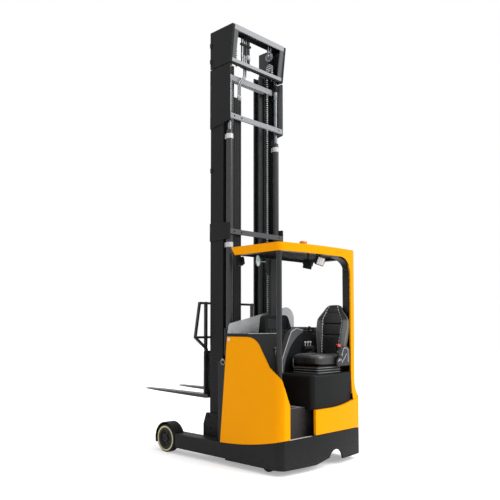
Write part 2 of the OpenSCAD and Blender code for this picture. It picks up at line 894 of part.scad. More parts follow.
module arm_console() {
  depth = 68;
  sweep_y = seat_y + 50;
  sweep_r = 500;
  sweep_z = seat_box_top - 45;
  color("#3a3b3d") along_x(bulkhead_x - depth, bulkhead_x) difference() {
    soft_poly([[sweep_y + sweep_r - 20, seat_box_top], [sweep_y + sweep_r + 20, seat_box_top],
      [sweep_y + sweep_r + 28, seat_box_top + 130], [sweep_y + 422, hood_top - 60],
      [sweep_y + 380, hood_top + 15], [sweep_y + 290, hood_top + 52], [sweep_y + 180, hood_top + 25]],
      [0, 0, 60, 0, 30, 30, 12]);
    translate([sweep_y, sweep_z]) circle(r = sweep_r, $fn = 128);
  }
}

module control_levers() {
  gate_y = [seat_y + 48, seat_y + 180];
  gate_z = seat_box_top + 235;
  gate_h = 30;
  rise = 40;
  knob_d = 26;
  color("#2a2a2c") difference() {
    along_y(gate_y[0], gate_y[1]) soft_poly([[bulkhead_x - 60, gate_z], [bulkhead_x, gate_z - 40],
      [bulkhead_x, gate_z + gate_h], [bulkhead_x - 60, gate_z + gate_h]], [10, 0, 0, 14]);
    for (y = [gate_y[0] + 22:44:gate_y[1]])
      span([bulkhead_x - 48, y - 6, gate_z + gate_h - 10], [bulkhead_x - 12, y + 6, gate_z + gate_h + over]);
  }
  color("#b9bcc0") for (y = [gate_y[0] + 22:44:gate_y[1]]) {
    bar_z(bulkhead_x - 30, y, gate_z + gate_h - 10, gate_z + gate_h + rise, 9);
    translate([bulkhead_x - 30, y, gate_z + gate_h + rise]) sphere(d = knob_d);
  }
}

module steering_wheel() {
  wheel_r = 112;
  grip = 20;
  spokes = 3;
  x = bulkhead_x + 85;
  color("#1b1b1d") translate([x, seat_y + 90, hood_top]) {
    cylinder(d = 70, h = 16);
    translate([0, 0, 16]) rotate([0, -8, 0]) {
      translate([0, 0, -6]) cylinder(d = 58, h = 30);
      translate([0, 0, 18]) rotate_extrude() translate([wheel_r, 0]) circle(d = grip);
      for (i = [0:spokes - 1])
        rotate([0, 0, 60 + i * 360 / spokes]) bar_x(0, 14, 20, wheel_r - 4, 16);
      translate([-wheel_r, 0, 24]) cylinder(d = 16, h = 18);
      translate([-wheel_r, 0, 52]) sphere(d = 42);
    }
  }
}

module seat_base() {
  folds = 6;
  fold_h = bellows_h / folds;
  tuck = 10;
  rest_gap = 0.3;
  arm_t = 22;
  arm_x = cushion_w / 2 + 2;
  w = cushion_w - 40;
  color("#1d1d1f") {
    for (i = [0:folds - 1]) {
      z = seat_box_top + i * fold_h;
      along_z(z, z + 0.6 * fold_h)
        soft_rect([seat_x - w / 2, seat_y + tuck], [seat_x + w / 2, seat_y + cushion_l - 2 * tuck], 26);
      along_z(z + 0.6 * fold_h, z + fold_h - (i == folds - 1 ? rest_gap : 0))
        soft_rect([seat_x - w / 2 + tuck, seat_y + 2 * tuck],
          [seat_x + w / 2 - tuck, seat_y + cushion_l - 3 * tuck], 22);
    }
    for (side = [0, 1])
      translate([seat_x, seat_y, cushion_z]) mirror([side, 0, 0]) {
        along_x(arm_x, arm_x + arm_t) soft_poly([[-70, -12], [120, -12], [90, 70], [-10, 150], [-70, 150]],
          [12, 12, 30, 30, 20]);
        span([w / 2 - 2 * tuck, 3 * tuck, 3 - fold_h], [arm_x + arm_t / 2, 100, -2]);
      }
  }
}

module seat_cushion() {
  crown = 34;
  color("#202022") intersection() {
    along_z(cushion_z, cushion_z + cushion_t)
      soft_rect([seat_x - cushion_w / 2, seat_y + 4], [seat_x + cushion_w / 2, seat_y + cushion_l], 40);
    along_x(seat_x - cushion_w / 2, seat_x + cushion_w / 2) soft_poly([[seat_y, cushion_z],
      [seat_y + cushion_l, cushion_z], [seat_y + cushion_l, cushion_z + cushion_t],
      [seat_y, cushion_z + cushion_t - crown]], [0, 20, crown, 12]);
  }
}

module seat_back() {
  waist = cushion_w / 2 - 8;
  bust = cushion_w / 2 + 24;
  crest = 78;
  low = cushion_z + 28;
  color("#202022") translate([seat_x, seat_y, low]) rotate([back_lean, 0, 0]) along_y(-back_t, 0)
    soft_poly([[-waist, 0], [waist, 0], [bust, back_h * 0.66], [crest, back_h], [-crest, back_h],
      [-bust, back_h * 0.66]], [30, 30, 60, 40, 40, 60]);
}

// Work lamp on a stem, turned about the stem
module lamp(x, y, hang, stem_top, turn) {
  body = [84, 58, 84];
  wall = 5;
  translate([x, y, hang]) {
    bar_z(0, 0, body[2] / 2 - wall, stem_top - hang, 14);
    rotate([0, 0, turn]) difference() {
      along_y(-body[1] / 2, body[1] / 2)
        soft_rect([-body[0] / 2, -body[2] / 2], [body[0] / 2, body[2] / 2], 14);
      along_y(body[1] / 2 - 12, body[1] / 2 + over)
        soft_rect([wall - body[0] / 2, wall - body[2] / 2], [body[0] / 2 - wall, body[2] / 2 - wall], 10);
      for (z = [-24:16:24])
        span([-body[0] / 2 - over, -body[1] / 2 - over, z - 4],
          [body[0] / 2 + over, 16 - body[1] / 2, z + 4]);
    }
  }
}

module work_lamps() {
  hang = 165;
  color("#161618") {
    lamp(195, roof_pitch, guard_top - hang, slat_z, -135);
    lamp(150, -roof_pitch, guard_top - hang + 30, slat_z, 50);
    lamp(guard_front - 90, guard_y - rim_w / 2, guard_z - 60, guard_z, -90);
  }
}

module beacon() {
  base_d = 96;
  lens_d = 80;
  lens_h = 52;
  base_h = 46;
  color("#ff7a00") translate([300, 0, guard_top - 24]) rotate_extrude() {
    square([base_d / 2, 12]);
    square([base_d / 2 - 4, base_h]);
    translate([0, base_h]) square([lens_d / 2, lens_h - 16]);
    translate([0, base_h + lens_h - 16]) square([lens_d / 2 - 14, 14]);
    intersection() {
      translate([lens_d / 2 - 14, base_h + lens_h - 16]) circle(r = 14);
      translate([0, base_h]) square([lens_d / 2, lens_h]);
    }
  }
}

module convex_mirror() {
  face_d = 116;
  ball_r = 150;
  arm_y = 110;
  x = 700;
  y = 260;
  z = guard_z - 38;
  turn = 21;
  color("#cfd8d4") {
    translate([x, y, z]) rotate([0, 0, turn]) {
      intersection() {
        translate([ball_r - 14, 0, 0]) sphere(r = ball_r, $fn = 96);
        bar_x(0, 0, -20, 12, face_d);
      }
      bar_x(0, 0, 12, 36, 16);
    }
    bar_y(x + 30, z, arm_y, y + 14, 12);
  }
}

module drive_unit() {
  motor_d = 190;
  motor_h = 225;
  plate_d = 240;
  case_in = drive_w / 2 + 7;
  case_t = 46;
  color("#3a3a3c") translate([drive_x, drive_y, 0]) {
    bar_z(0, 0, bridge_z - 30, bridge_z - 5, plate_d);
    bar_z(0, 0, bridge_z - 5, bridge_z + bridge_t, neck_d);
    bar_z(0, 0, bridge_z + bridge_t, bridge_z + bridge_t + motor_h, motor_d);
    along_y(case_in, case_in + case_t) soft_poly([[-80, drive_r / 2], [80, drive_r / 2], [80, bridge_z - 25],
      [-80, bridge_z - 25]], [60, 60, 0, 0]);
    bar_y(0, drive_r, -drive_w / 2 + 7, case_in, hub_d);
  }
}

module drive_tyre() {
  color("#222") translate([drive_x, drive_y, drive_r]) tyre(drive_r, drive_rim_d, drive_w);
}

module drive_hub() {
  color("#55585b") translate([drive_x, drive_y, drive_r])
    hub(drive_rim_d, hub_d + 2 * run_gap, drive_w);
}

module caster_fork() {
  head_d = 110;
  head_z = deck_under - 20;
  stem_t = 22;
  color("#3a3a3c") translate([caster_x, caster_y, 0]) {
    bar_z(0, 0, head_z, deck_under - 6, head_d);
    bar_z(0, 0, deck_under - 6, deck_under + 30, caster_pin);
    along_y(-stem_t / 2, stem_t / 2)
      soft_poly([[caster_trail - 22, caster_r - 22], [caster_trail + 22, caster_r - 22],
      [head_d / 2, head_z], [-head_d / 2, head_z]], [20, 20, 0, 0]);
    bar_y(caster_trail, caster_r, -caster_w - caster_gap, caster_w + caster_gap, caster_axle);
  }
}

module caster_wheels() {
  color("#222") translate([caster_x + caster_trail, caster_y, caster_r]) for (s = [-1, 1])
    translate([0, s * (caster_gap + caster_w / 2), 0]) difference() {
      tyre(caster_r, caster_axle + 2 * run_gap, caster_w);
      both_sides() bar_y(0, 0, caster_w / 2 - 6, caster_w, caster_d / 2);
    }
}

module reach_carriage() {
  low = 85;
  crown = 463;
  tail = mast_rear - 228;
  sill = mast_rear - 93;
  toe = mast_front + 75;
  lug_half = 40;
  rod_rear = 380;
  color("#262628") {
    both_sides() along_y(cheek_in, cheek_out) soft_poly([[tail, low + 10], [sill, low],
      [toe, low], [toe, crown - 123], [toe - 45, crown], [mast_rear + 26, crown],
      [mast_rear - 20, leg_top - 15], [tail, leg_top - 25]], [10, 0, 12, 20, 16, 16, 0, 10]);
    span([sill, -cheek_in, low], [mast_front + 10, cheek_in, mast_foot]);
    span([sill, reach_y - lug_half, mast_foot], [sill + 25, reach_y + lug_half, leg_top - 30]);
    bar_x(reach_y, rail_z, rod_rear, sill + over, reach_rod);
  }
}

module reach_rollers() {
  face = 30;
  color("#8a8d90") both_sides() for (x = [mast_rear - 163, mast_front - 45]) {
    bar_y(x, rail_z, leg_in - 5 - face, leg_in - 5, rail_throat - 2 * roll_gap);
    bar_y(x, rail_z, cheek_out, leg_in - 5 - face, 40);
  }
}

// Root fillet in a corner, opening towards the signs given
module root(x, y, sx, sy) {
  difference() {
    translate([min(x, x + sx * root_r), min(y, y + sy * root_r)]) square(root_r);
    translate([x + sx * root_r, y + sy * root_r]) circle(r = root_r);
  }
}

// Plan of a rolled rail: web, then the flanges outboard and inboard of it where asked for
module rail(rear, depth, y_web, y_out, y_in, outboard, inboard) {
  lo = inboard ? y_in : y_web;
  hi = outboard ? y_out : y_web + web_t;
  translate([rear, y_web]) square([depth, web_t]);
  for (x = [rear, rear + depth - flange_t])
    translate([x, lo]) square([flange_t, hi - lo]);
  for (e = [[rear + flange_t, 1], [rear + depth - flange_t, -1]]) {
    if (outboard) root(e[0], y_web + web_t, e[1], 1);
    if (inboard) root(e[0], y_web, e[1], -1);
  }
}

module outer_rail() {
  rail(mast_rear, outer_depth, mast_y - web_t, mast_y, mast_y - outer_flange, false, true);
}

module mid_rail(outboard, inboard) {
  rail(mid_rear, mid_depth, mid_web, mid_y, mid_y - mid_flange, outboard, inboard);
}

module inner_rail(outboard, inboard) {
  rail(inner_rear, inner_depth, inner_web, inner_y, inner_in, outboard, inboard);
}

// A roller with its stub, running in a rail's throat
module rail_roller(x, z, y_web, y0, y1, depth) {
  bar_y(x, z, y0, y1, depth - 2 * flange_t - 2 * roll_gap);
  bar_y(x, z, min(y_web, y0), max(y_web, y1), 36);
}

module outer_rails() {
  color("#1a1a1c") both_sides() {
    along_z(mast_foot, outer_top) outer_rail();
    rail_roller(mast_x, outer_top - 70, mast_y - web_t, mid_web + web_t + roll_side, mid_y - 2, mid_depth);
  }
}

module outer_ties() {
  rise = 52;
  front = mast_front + 2;
  color(black) {
    both_sides() for (p = [[outer_top - plate_h, plate_h, rise, 0], [tie_z, tie_h, 14, 12]])
      along_y(mast_y, mast_y + plate_t) soft_poly([[front, p[0]], [front, p[0] + p[1]],
        [bar_x0, p[0] + p[1] - p[3]], [bar_x0, p[0] + p[2]]], [0, 0, 12, 12]);
    for (z = [outer_top - plate_h + rise + 16, tie_z + 61])
      difference() {
        span([bar_x0, -mast_y, z], [bar_x0 + 22, mast_y, z + bar_h]);
        for (y = [mast_y - 60, mast_y - 170, 60 - mast_y])
          bar_x(y, z + bar_h / 2, bar_x0 - over, bar_x0 + 22 + over, 22);
      }
  }
}

module lift_barrels() {
  wall = 10;
  gland = 34;
  collar = 50;
  low = tie_z - 76;
  color("#2d2d30") both_sides() {
    difference() {
      union() {
        translate([lift_x, lift_y, 0]) rotate_extrude() polygon([[0, mast_foot], [barrel_d / 2, mast_foot],
          [barrel_d / 2, barrel_top - gland], [barrel_d / 2 - 4, barrel_top - gland],
          [barrel_d / 2 - 4, barrel_top - 6], [barrel_d / 2 - 10, barrel_top], [0, barrel_top]]);
        for (z = [barrel_top - 2 * collar, low]) {
          span([lift_x, lift_y - 25, z], [mast_rear, lift_y + 25, z + collar]);
          bar_z(lift_x, lift_y, z, z + collar, barrel_d + 4);
        }
      }
      bar_z(lift_x, lift_y, mast_foot + 2 * wall, barrel_top - gland, barrel_d - 2 * wall);
      bar_z(lift_x, lift_y, mast_foot + 5 * wall, barrel_top + over, rod_d + 2 * run_gap);
    }
  }
}

module mid_rails() {
  cap = inner_top + 10;
  color("#222224") both_sides() {
    along_z(stage_foot, stage_foot + foot_cut) mid_rail(false, true);
    along_z(stage_foot + foot_cut, cap) mid_rail(true, true);
    along_z(cap, mast_top - 20) mid_rail(true, false);
    rail_roller(mast_x, stage_foot + foot_cut / 2, mid_web + web_t, mid_web + web_t + roll_side,
      mast_y - web_t - roll_side, outer_depth);
    rail_roller(mast_x, inner_top - 70, mid_web, inner_web + web_t + roll_side, mid_web - roll_side,
      inner_depth);
  }
}

module mid_head() {
  base = outer_top + 12;
  wall = 14;
  top_x = bar_x0 - head_lean;
  side = mast_y + plate_t;
  flange_w = 56;
  tie_d = 18;
  tie_h = 60;
  tie_low = outer_top - 131;
  bar_rear = mast_rear - 24;
  color(black) {
    both_sides() {
      difference() {
        along_y(mid_y, side) soft_poly([[mast_front, base], [mast_front, mast_top], [top_x, mast_top],
          [bar_x0, base]], [0, 0, 10, 10]);
        along_y(mid_y - over, side - plate_t) polygon([[mid_rear - wall, base + wall],
          [mid_rear - wall, mast_top - wall], [top_x + 2 * wall, mast_top - wall],
          [bar_x0 + wall, base + wall]]);
      }
      span([lift_x - 35, lift_y - 35, rod_top], [lift_x + 40, mast_y, rod_top + seat_t]);
      span([sheave_x - 20, chain_y + chain_w / 2 + 4, sheave_z - 40],
        [mid_rear, mid_web + web_t, sheave_z + 40]);
    }
    along_y(-mid_y, mid_y) polygon([[bar_x0 + 1, base], [bar_x0 + 31, base], [bar_x0 + 31, base + 14],
      [bar_x0 + 15, base + 14], [bar_x0 + 13, base + bar_h], [bar_x0 - 5, base + bar_h]]);
    along_y(-mid_y, mid_y) polygon([[top_x + 1, mast_top], [top_x + 62, mast_top],
      [top_x + 62, mast_top - 12],
      [top_x + 16, mast_top - 12], [top_x + 20, mast_top - bar_h], [top_x + 7, mast_top - bar_h]]);
    both_sides() {
      along_y(mid_y - flange_w, mid_y) polygon([[top_x + 8, mast_top - bar_h], [top_x + 20, mast_top - bar_h],
        [bar_x0 + 13, base + bar_h], [bar_x0 + 1, base + bar_h]]);
      span([bar_rear + tie_d, mid_web - 18, tie_low], [mid_rear, mid_web + 8, tie_low + tie_h]);
    }
    span([bar_rear, 51 - mid_y, tie_low], [bar_rear + tie_d, mid_y - 51, tie_low + tie_h]);
    span([mid_rear - tie_t, mid_flange - mid_y - 56, stage_foot + 35],
      [mid_rear, mid_y - mid_flange + 56, chain_foot]);
  }
}

module lift_rods() {
  color("#c9ccd0") both_sides() bar_z(lift_x, lift_y, mast_foot + 30, rod_top, rod_d);
}

// Side view of a leaf chain: a waist with a round lobe at each pin
module chain_links(x, z0, z1) {
  waist = link_h - 5;
  translate([x - waist / 2, z0]) square([waist, z1 - z0]);
  for (z = [z0 + link_h / 2:chain_pitch:z1 - link_h / 2])
    translate([x, z]) circle(d = link_h, $fn = 24);
}

module lift_chains() {
  rim = 4;
  groove = sheave_d / 2;
  rear_x = 2 * sheave_x - chain_x;
  color("#6d6f72") both_sides() {
    along_y(chain_y - chain_w / 2 + rim, chain_y + chain_w / 2 - rim) {
      chain_links(chain_x, chain_foot, sheave_z);
      chain_links(rear_x, outer_top + 70, sheave_z);
      intersection() {
        difference() {
          translate([sheave_x, sheave_z]) circle(r = groove + link_h);
          translate([sheave_x, sheave_z]) circle(r = groove);
        }
        translate([rear_x - link_h, sheave_z]) square([4 * link_h + sheave_d, 2 * sheave_d]);
      }
    }
    translate([sheave_x, chain_y, sheave_z]) rotate([90, 0, 0]) rotate_extrude()
      polygon([[0, -chain_w / 2], [groove + 8, -chain_w / 2], [groove + 8, rim - chain_w / 2],
        [groove, rim - chain_w / 2], [groove, chain_w / 2 - rim], [groove + 8, chain_w / 2 - rim],
        [groove + 8, chain_w / 2], [0, chain_w / 2]]);
    bar_y(sheave_x, sheave_z, chain_y, chain_y + chain_w / 2 + 4, 26);
  }
}

// Lower and upper Y of each pipe on the left column
function pipe_rows() = [for (i = [0:1])
  [chain_y - chain_w / 2 - 22 - i * pipe_pitch, chain_y - chain_w - 96 - i * pipe_pitch]];

// Pipe that steps sideways by two equal bends
module step_pipe(x, y0, y1, z0, z1, bend_z, r, turn) {
  run = y0 - y1 - 2 * r * (1 - cos(turn));
  slope = run / sin(turn);
  translate([x, y0, z0]) cylinder(d = pipe_d, h = bend_z - z0);
  translate([x, y0 - r, bend_z]) rotate([90, 0, 90]) rotate_extrude(angle = turn)
    translate([r, 0]) circle(d = pipe_d);
  translate([x, y0 - r + r * cos(turn), bend_z + r * sin(turn)]) rotate([turn, 0, 0])
    cylinder(d = pipe_d, h = slope);
  translate([x, y1 + r, bend_z + 2 * r * sin(turn) + slope * cos(turn)]) rotate([90, 180, 90])
    rotate_extrude(angle = turn) translate([r, 0]) circle(d = pipe_d);
  translate([x, y1, bend_z + 2 * r * sin(turn) + slope * cos(turn)])
    cylinder(d = pipe_d, h = z1 - bend_z - 2 * r * sin(turn) - slope * cos(turn));
}

module mast_pipes() {
  hold_z = outer_top + 16;
  grip = pipe_pitch / 2;
  rows = pipe_rows();
  color("#c3c6c9") {
    for (p = rows)
      step_pipe(pipe_x, p[0], p[1], hose_top, mast_top - 90, hose_top + 150, 60, 40);
    span([bar_x0 + 31, rows[1][1] - grip, hold_z - 4], [pipe_x, rows[0][1] + grip, hold_z + 10]);
  }
}

module mast_hoses() {
  hoses = 4;
  grip = pipe_pitch / 2;
  low = chain_foot - 100;
  last = pipe_rows()[1][0];
  first = last + (hoses - 1) * pipe_pitch;
  color("#141416") {
    for (i = [0:hoses - 1])
      bar_z(pipe_x, last + i * pipe_pitch, low + 40, hose_top, hose_d);
    span([pipe_x, last - grip, low], [mid_rear - tie_t, first + grip, low + 40]);
  }
}

module inner_rails() {
  foot = 150;
  color("#222224") both_sides() {
    along_z(stage_foot, stage_foot + foot) inner_rail(false, true);
    along_z(stage_foot + foot, inner_top) inner_rail(true, true);
    rail_roller(mast_x, stage_foot + 80, inner_web + web_t, inner_web + web_t + roll_side,
      mid_web - roll_side, mid_depth);
  }
}

module inner_ties() {
  half = mid_y - mid_flange - 8;
  tie_d = 18;
  tie_h = 60;
  color("#2a2a2c") for (z = [stage_foot + 65, (stage_foot + inner_top) / 2, inner_top - 200])
    along_x(inner_rear - tie_d, inner_rear) soft_rect([-half, z], [half, z + tie_h], 10);
}

module lift_carriage() {
  front = mast_front + 20;
  rollers = [frame_z + 105, frame_z + 405];
  color(black) {
    both_sides() {
      along_y(slide_in, slide_out) soft_poly([[mast_x - 29, frame_z + 50], [front, frame_z + 50],
        [front, frame_z + 460], [mast_x - 29, frame_z + 460]], [24, 0, 0, 24]);
      for (z = rollers)
        rail_roller(mast_x, z, slide_out, inner_in + 3, inner_web - roll_side, inner_depth);
      difference() {
        union() {
          bar_y(pivot_x, pivot_z, slide_in - 40, slide_in - 40 + lug_t, pivot_d + 18);
          span([front + frame_t, slide_in - 40, pivot_z - 24],
            [pivot_x, slide_in - 40 + lug_t, pivot_z + 24]);
        }
        bar_y(pivot_x, pivot_z, slide_in - 41, slide_in - 39 + lug_t, pivot_d + 2 * run_gap);
      }
    }
    for (z = [frame_z + 60, frame_z + 370])
      along_x(front, front + frame_t) soft_rect([35 - shift_half, z], [shift_half - 35, z + 80], 14);
  }
}

module tilt_frame() {
  half = shift_half - 45;
  color("#232325") {
    for (z = [frame_z + 50, frame_top - beam_h])
      span([tilt_x, -half, z], [tilt_x + frame_t, half, z + 90]);
    both_sides() {
      span([tilt_x, half - 40, frame_z + 140], [tilt_x + frame_t, half, frame_top - beam_h]);
      bar_y(pivot_x, pivot_z, slide_in - 45, slide_in + 15, pivot_d);
      span([pivot_x, slide_in - 9, pivot_z - 15], [tilt_x, slide_in + 15, pivot_z + 15]);
    }
  }
}

module shift_frame() {
  hook = 160;
  grip = 22;
  color("#232325") {
    along_x(frame_x, frame_x + frame_t) difference() {
      soft_rect([-shift_half, frame_z], [shift_half, frame_top], 16);
      soft_rect([40 - shift_half, frame_z + beam_h], [shift_half - 40, frame_top - beam_h], 24);
    }
    span([frame_x - frame_t - 5, -hook, frame_top - 30 + roll_gap], [frame_x, hook, frame_top - 30 + grip]);
    span([frame_x - frame_t - 5, -hook, frame_z + 50 - grip], [frame_x, hook, frame_z + 50 - roll_gap]);
  }
}

// Bar of the backrest's frame between two points, of a given width
module rest_strut(a, b, w) {
  side = w / 2 * [b[1] - a[1], a[0] - b[0]] / norm(b - a);
  polygon([a + side, b + side, b - side, a - side]);
  for (p = [a, b])
    translate(p) circle(d = w);
}

module backrest() {
  top = frame_top + rest_h;
  wide = [shift_half + rest_flare - rest_bar / 2, frame_top + 150];
  ear = [shift_half + 72, top - rest_bar / 2];
  foot = [shift_half - rest_bar, frame_top + rest_bar];
  post = shift_half - 20;
  color("#232325") along_x(frame_x, frame_x + frame_t) {
    both_profiles() {
      rest_strut(foot, wide, rest_bar);
      rest_strut(wide, ear, rest_bar);
      rest_strut([post, frame_top + rest_bar], [post, top - rest_bar / 2], rest_bar + 8);
      translate([post - rest_bar, frame_top]) square([1.5 * rest_bar, rest_bar]);
    }
    rest_strut([-wide[0], wide[1]], wide, rest_bar);
    rest_strut([-ear[0], ear[1]], ear, rest_bar);
  }
}

// A profile and its mirror image about the upright axis
module both_profiles() {
  children();
  mirror([1, 0, 0]) children();
}

module forks() {
  tip_l = 260;
  tip_w = 34;
  mid_y0 = shift_half - fork_in - fork_w / 2;
  color("#1a1a1c") both_sides() intersection() {
    along_y(mid_y0 - fork_w / 2, mid_y0 + fork_w / 2) soft_poly([[heel_x - fork_t, fork_z - fork_t],
      [heel_x + fork_len, fork_z - tip_t], [heel_x + fork_len, fork_z], [heel_x, fork_z], [heel_x, frame_top],
      [heel_x - fork_t, frame_top]], [30, 0, 0, 0, 6, 0]);
    along_z(0, frame_top) {
      translate([heel_x - fork_t, mid_y0 - fork_w / 2]) square([fork_t + fork_len - tip_l, fork_w]);
      soft_poly([[heel_x + fork_len - tip_l, mid_y0 - fork_w / 2], [heel_x + fork_len, mid_y0 - tip_w],
        [heel_x + fork_len, mid_y0 + tip_w],
        [heel_x + fork_len - tip_l, mid_y0 + fork_w / 2]], [0, 24, 24, 0]);
    }
  }
}

translate([-centre_x, 0, 0]) {
  chassis_tub();
  legs();
  wheel_fenders();
  load_axles();
  left_panel();
  right_panel();
  rear_cover();
  seat_box();
  cab_floor();
  front_hood();
  battery();
  drive_bridge();
  reach_barrel();
  guard_roof();
  guard_bars();
  guard_posts();
  windscreen();
  display_console();
  arm_console();
  control_levers();
  steering_wheel();
  seat_base();
  seat_cushion();
  seat_back();
  work_lamps();
  beacon();
  convex_mirror();
  left_load_tyre();
  left_load_hub();
  right_load_tyre();
  right_load_hub();
  drive_unit();
  drive_tyre();
  drive_hub();
  caster_fork();
  caster_wheels();
  reach_carriage();
  reach_rollers();
  outer_rails();
  outer_ties();
  lift_barrels();
  mid_rails();
  mid_head();
  lift_rods();
  lift_chains();
  mast_pipes();
  mast_hoses();
  inner_rails();
  inner_ties();
  lift_carriage();
  tilt_frame();
  shift_frame();
  backrest();
  forks();
}
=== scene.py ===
import math

import bmesh
import bpy
import numpy as np
from mathutils import Matrix, Vector


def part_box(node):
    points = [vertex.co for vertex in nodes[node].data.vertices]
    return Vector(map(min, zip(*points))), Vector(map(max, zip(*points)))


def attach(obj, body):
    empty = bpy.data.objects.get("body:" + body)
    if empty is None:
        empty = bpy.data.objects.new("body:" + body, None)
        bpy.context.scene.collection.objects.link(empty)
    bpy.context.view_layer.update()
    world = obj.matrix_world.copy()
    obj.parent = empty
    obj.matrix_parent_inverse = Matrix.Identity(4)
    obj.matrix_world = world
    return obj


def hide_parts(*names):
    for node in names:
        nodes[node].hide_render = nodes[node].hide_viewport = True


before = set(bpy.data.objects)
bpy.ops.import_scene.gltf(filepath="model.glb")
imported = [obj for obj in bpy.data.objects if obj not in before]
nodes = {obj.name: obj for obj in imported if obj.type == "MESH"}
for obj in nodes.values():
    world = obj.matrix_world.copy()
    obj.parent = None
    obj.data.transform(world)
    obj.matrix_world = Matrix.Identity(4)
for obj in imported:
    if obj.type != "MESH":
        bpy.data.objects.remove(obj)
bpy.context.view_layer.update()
scene = bpy.context.scene
scene.view_settings.view_transform = "Standard"

# Camera at the photographer's place, low behind the truck's left rear corner.
# A long lens shifted upwards keeps the mast's columns upright in the picture.
def put(name, data):
    """New object of this data in the scene."""
    made = bpy.data.objects.new(name, data)
    scene.collection.objects.link(made)
    return made


view = put("camera", bpy.data.cameras.new("camera"))
view.data.lens, view.data.sensor_width, view.data.shift_y = 44.73, 36.0, 0.0884
view.data.clip_end = 100
yaw, pitch = math.radians(45.55), math.radians(2.967)
aim = Vector((math.cos(yaw) * math.cos(pitch), -math.sin(yaw) * math.cos(pitch), math.sin(pitch)))
view.location = (-5.085, 4.9496, 1.3898)
view.rotation_mode = "QUATERNION"
view.rotation_quaternion = aim.to_track_quat("-Z", "Y")
scene.camera = view

# Studio: a pale floor under an even white sky, a broad soft lamp from the truck's
# right rear that makes the rear faces bright, and a panel lamp straight above the cab.
def add(tree, kind, inputs=None, **props):
    """New shader node with its properties set and its sockets filled with values or links."""
    node = tree.nodes.new("ShaderNode" + kind)
    for key, value in props.items():
        setattr(node, key, value)
    for key, value in (inputs or {}).items():
        if isinstance(value, bpy.types.NodeSocket):
            tree.links.new(value, node.inputs[key])
        else:
            node.inputs[key].default_value = value
    return node


def feed(tree, links):
    """Join outputs to the named sockets of a tree's shader, its sky or its outlet."""
    ends = ("BSDF_PRINCIPLED", "BACKGROUND", "GROUP_OUTPUT")
    last = next(node for node in tree.nodes if node.type in ends)
    for key, value in links.items():
        tree.links.new(value, last.inputs[key])


def tint(code):
    """Linear colour of a six-figure screen code; other colours stay as they are."""
    if not isinstance(code, str):
        return code
    c = np.array([int(code[i:i + 2], 16) for i in (0, 2, 4)]) / 255
    return tuple(np.where(c <= 0.04045, c / 12.92, ((c + 0.055) / 1.055) ** 2.4)) + (1.0,)


def both(tree, a, b, operation="MULTIPLY"):
    """One step of arithmetic on two values."""
    return add(tree, "Math", {0: a, 1: b}, operation=operation).outputs[0]


def spread(tree, value, lo, hi, to_lo=0.0, to_hi=1.0):
    """Carry a value from one range to another, held at both ends."""
    return add(tree, "MapRange", {"Value": value, "From Min": lo, "From Max": hi, "To Min": to_lo,
                                  "To Max": to_hi}).outputs[0]


def blend(tree, amount, a, b):
    """Colour between a and b."""
    return add(tree, "Mix", {0: amount, 6: tint(a), 7: tint(b)}, data_type="RGBA").outputs[2]


def place(tree):
    """Object coordinates of the point that is shaded."""
    return add(tree, "TexCoord").outputs["Object"]


def noise(tree, where, scale, detail=2.0):
    """Noise value at a place."""
    return add(tree, "TexNoise", {"Vector": where, "Scale": scale, "Detail": detail}).outputs["Fac"]


def material(name, plain):
    """New material and its tree, with even values set on its one Principled shader."""
    made = bpy.data.materials.new(name)
    made.use_nodes = True
    for key, value in plain.items():
        made.node_tree.nodes["Principled BSDF"].inputs[key].default_value = value
    return made, made.node_tree


sky_light, shadow_lift = 0.66, 0.35
sky = bpy.data.worlds.new("studio_sky")
scene.world = sky
sky.use_nodes = True
tree = sky.node_tree
ray = add(tree, "LightPath").outputs
seen = both(tree, ray["Is Camera Ray"], ray["Is Transmission Ray"], "MAXIMUM")
seen = both(tree, seen, ray["Is Glossy Ray"], "MAXIMUM")
feed(tree, {"Strength": spread(tree, seen, 0.0, 1.0, sky_light, 1.0)})
tree.nodes["Background"].inputs["Color"].default_value = (1, 1, 1, 1)

lamp = put("soft_lamp", bpy.data.lights.new("soft_lamp", "SUN"))
lamp.data.energy, lamp.data.angle = 2.65, 0.9
lamp.rotation_euler = Vector((0.68, 0.30, -0.66)).to_track_quat("-Z", "Y").to_euler()
top_lamp = put("top_lamp", bpy.data.lights.new("top_lamp", "AREA"))
top_lamp.data.energy, top_lamp.data.size = 70.0, 2.4
top_lamp.location = (-1.1, 0.2, 7.0)

pale, tree = material("pale_floor", {"Roughness": 0.85, "Specular IOR Level": 0.1, "Emission Color": (1, 1, 1, 1)})
ray = add(tree, "LightPath").outputs
feed(tree, {"Base Color": blend(tree, noise(tree, place(tree), 1.5, 4.0), "f2f2f2", "f5f5f5"),
            "Emission Strength": both(tree, ray["Is Camera Ray"], shadow_lift)})
mesh = bpy.data.meshes.new("floor")
mesh.from_pydata([(-30, -30, 0), (30, -30, 0), (30, 30, 0), (-30, 30, 0)], [], [(0, 1, 2, 3)])
floor = put("floor", mesh)
mesh.materials.append(pale)

# Chassis tub, straddle legs and fenders: welded plate in charcoal powder coat,
# rubbed at the edges and dusty near the floor. All later paints use the same effects.
def effect(name, inputs, outputs):
    """Start a node group with named sockets, and give back its tree and inlet."""
    group = bpy.data.node_groups.new(name, "ShaderNodeTree")
    for label, (kind, value) in inputs.items():
        group.interface.new_socket(label, in_out="INPUT", socket_type=kind).default_value = value
    for label, kind in outputs.items():
        group.interface.new_socket(label, in_out="OUTPUT", socket_type=kind)
    group.nodes.new("NodeGroupOutput")
    return group, group.nodes.new("NodeGroupInput").outputs


def use(tree, name, inputs):
    """Place an effect in a material with its own values, and give back its outputs."""
    return add(tree, "Group", inputs, node_tree=bpy.data.node_groups[name]).outputs


